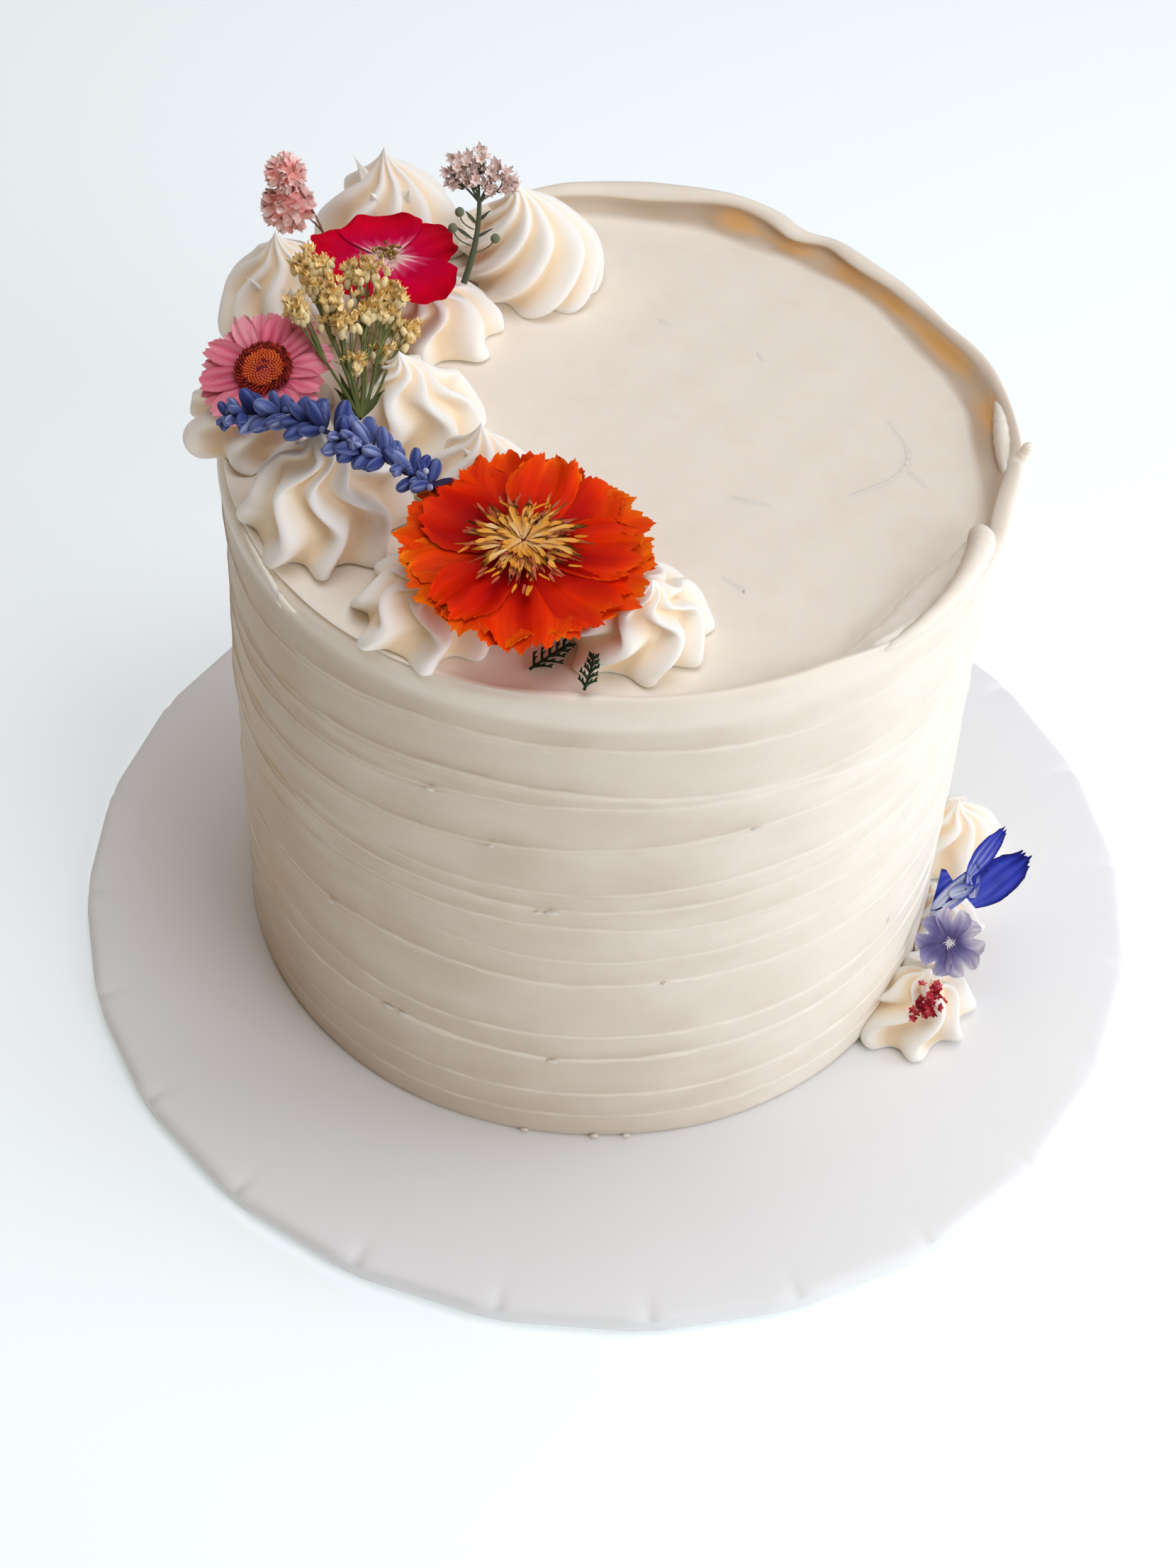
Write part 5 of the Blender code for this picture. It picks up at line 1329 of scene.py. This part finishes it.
# Torn points of icing on the swirls: foot x, y, z, tip x, y, z, foot radius
TORN_POINTS = (
    (-57.0, 59.0, 153.5, -60.2, 60.0, 160.8, 4.2), (-55.0, 55.0, 152.0, -56.0, 52.0, 157.0, 3.0),
    (-49.0, 57.0, 152.0, -47.5, 54.5, 156.5, 3.0), (-76.0, 27.0, 147.0, -79.5, 24.5, 153.0, 3.4),
    (-70.5, 25.0, 147.5, -70.0, 22.5, 153.0, 2.8), (-28.5, -25.0, 148.0, -30.0, -26.5, 152.5, 2.4),
    (-23.5, -24.0, 147.0, -21.5, -25.0, 151.0, 2.2),
)


def make_torn_points(material):
    sheaf = Sheaf()
    for number, row in enumerate(TORN_POINTS):
        foot, tip, radius = np.array(row[:3]), np.array(row[3:6]), row[6]
        path = bow(foot - 0.25 * (tip - foot), tip, (0.3, -0.4, 0.5), 16)
        share = np.linspace(0.0, 1.0, 16)
        radii = radius * (1.0 - share) ** 1.7 + 0.04
        grid = tube(path, radii, 24)
        turn = np.linspace(0.0, TAU, 24, endpoint=False)
        core = grid.mean(axis=1, keepdims=True)
        grid = core + (grid - core) * (1.0 + 0.16 * np.cos(4.0 * turn + number))[None, :, None]
        sheaf.add(grid, 0.0, closed=True)
    finish_piece(sheaf.build("torn_points", material), "piped_icing")


# Board: pleats of the wrapping paper round the edge
BOARD_PLEATS = 24
BOARD_FIRST_PLEAT = math.radians(6.0)
BOARD_PLEAT_COLUMNS = 30
BOARD_PLAIN = 119.0
BOARD_PLEATED = 126.0
BOARD_THICKNESS = 5.0
SHARP_FOLD = math.radians(35.0)
BOARD_ROWS = ((0.0, 5.0), (60.0, 5.0), (100.0, 5.0), (119.0, 5.0), (122.0, 5.0), (124.6, 4.98),
              (125.8, 4.8), (126.6, 4.3),
              (127.0, 3.5), (127.0, 1.6), (126.7, 0.6), (125.6, 0.0), (100.0, 0.0), (0.0, 0.0))


def make_board(material):
    """A card round wrapped in paper whose folds make small corners and notches along the rim."""
    columns = BOARD_PLEATS * BOARD_PLEAT_COLUMNS
    turn = np.linspace(0.0, TAU, columns, endpoint=False)
    facet = TAU / BOARD_PLEATS
    place = (turn - BOARD_FIRST_PLEAT) % facet
    share = math.cos(facet / 2.0) / np.cos(place - facet / 2.0)
    fold = np.exp(-(place / 0.012) ** 2) + 0.6 * np.exp(-((place - facet) / 0.02) ** 2)
    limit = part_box("board")[1].x / MM
    points = []
    for radius, height in BOARD_ROWS[1:-1]:
        edge = smoothstep(BOARD_PLAIN, BOARD_PLEATED, radius)
        reach = radius * (1.0 + (share - 1.0) * edge) - 0.5 * fold * edge
        reach = np.minimum(reach, limit)
        drop = np.where(height > 3.0, -0.5 * fold * edge, 0.0)
        points.append(round_points(reach, turn, height + drop))
    points = np.concatenate(points)
    faces = closed_grid(len(BOARD_ROWS) - 2, columns, len(points), len(points) + 1)
    points = np.vstack([points, [[0.0, 0.0, BOARD_THICKNESS], [0.0, 0.0, 0.0]]])
    obj = mesh_piece("wrapped_board", points * MM, [face[::-1] for face in faces], material)
    obj.data.set_sharp_from_angle(angle=SHARP_FOLD)
    return finish_piece(obj, "white_card", "board")


def make_camera():
    data = bpy.data.cameras.new("viewpoint")
    camera = bpy.data.objects.new("viewpoint", data)
    bpy.context.scene.collection.objects.link(camera)
    data.sensor_width = 36.0
    data.lens = FOCAL_LENGTH
    forward = Vector((0.0, math.cos(VIEW_PITCH), -math.sin(VIEW_PITCH)))
    up = Vector((0.0, math.sin(VIEW_PITCH), math.cos(VIEW_PITCH)))
    right = Vector((1.0, 0.0, 0.0))
    forward, right = (forward * math.cos(VIEW_YAW) + right * math.sin(VIEW_YAW),
                      right * math.cos(VIEW_YAW) - forward * math.sin(VIEW_YAW))
    right, up = (right * math.cos(VIEW_ROLL) + up * math.sin(VIEW_ROLL),
                 up * math.cos(VIEW_ROLL) - right * math.sin(VIEW_ROLL))
    turn = Matrix((right, up, -forward)).transposed().to_4x4()
    turn.translation = CAKE_AXIS + VIEWPOINT
    camera.matrix_world = turn
    bpy.context.scene.camera = camera


# Soft lights: name, place and width in metres, power in watts, colour
LIGHTS = (
    ("window", (1.1, 0.1, 0.35), 0.8, 5.2, (0.92, 0.98, 1.09)),
    ("sky_panel", (0.12, 0.16, 1.5), 1.3, 12.2, (0.94, 0.99, 1.08)),
    ("side_panel", (0.75, -0.75, 0.6), 0.8, 5.4, (0.95, 0.99, 1.07)),
    ("warm_fill", (-0.7, -0.7, 0.9), 1.0, 0.8, (1.0, 0.82, 0.62)),
)
LIT_POINT = Vector((0.0, 0.0, 0.09))
FLOOR_SIZE = 8.0
FLOOR_DROP = 0.4 * MM
FLOOR_COLOUR = (0.92, 0.98, 1.0, 1.0)
FLOOR_GLOW = (0.90, 0.99, 1.0, 1.0)
ROOM_COLOUR = (1.0, 0.64, 0.37, 1.0)


def area_light(name, place, size, power, colour):
    data = bpy.data.lights.new(name, "AREA")
    data.shape = "DISK"
    data.size = size
    data.energy = power
    data.color = colour
    light = bpy.data.objects.new(name, data)
    bpy.context.scene.collection.objects.link(light)
    light.location = place
    light.rotation_euler = (LIT_POINT - Vector(place)).to_track_quat("-Z", "Y").to_euler()


def make_studio():
    """A pale floor, soft panels on the right, above and in front, and a weak warm fill."""
    world = bpy.data.worlds.new("studio")
    bpy.context.scene.world = world
    world.use_nodes = True
    background = world.node_tree.nodes["Background"]
    background.inputs["Color"].default_value = ROOM_COLOUR
    background.inputs["Strength"].default_value = 0.12
    bpy.ops.mesh.primitive_plane_add(size=FLOOR_SIZE, location=(0.0, 0.0, -FLOOR_DROP))
    floor = bpy.context.active_object
    floor.name = "pale_floor"
    material, _, _, shader = new_material("pale_floor", 0.8)
    shader.inputs["Base Color"].default_value = FLOOR_COLOUR
    shader.inputs["Specular IOR Level"].default_value = 0.1
    shader.inputs["Emission Color"].default_value = FLOOR_GLOW
    shader.inputs["Emission Strength"].default_value = 0.22
    floor.data.materials.append(material)
    for light in LIGHTS:
        area_light(*light)
    bpy.context.scene.view_settings.view_transform = "Standard"
    bpy.context.scene.view_settings.exposure = 0.0


make_camera()
make_studio()
side_icing = icing_material("combed_icing", IVORY, CREAM, SHADE, GOLDEN_SHADE_COLOUR, 0.35, 2.0 * MM, True)
piped_icing = icing_material("piped_icing", PIPED, PIPED_PALE, PIPED_VALLEY_SHADE, PIPED_VALLEY_SHADE, 0.3, 2.2 * MM, False)
make_board(card_material())
make_cake(side_icing)
for index, swirl in enumerate(SWIRLS):
    make_swirl(swirl, 100 + index, piped_icing)

make_icing_details(side_icing)
make_torn_points(piped_icing)
make_orange_flower()
make_red_flower()
make_daisy()
make_violet()
make_blue_petals()
make_red_bits()
make_yellow_sprig()
make_white_sprig()
make_pink_blossoms()
make_blue_spike()
for fern in FERNS:
    make_fern(*fern)
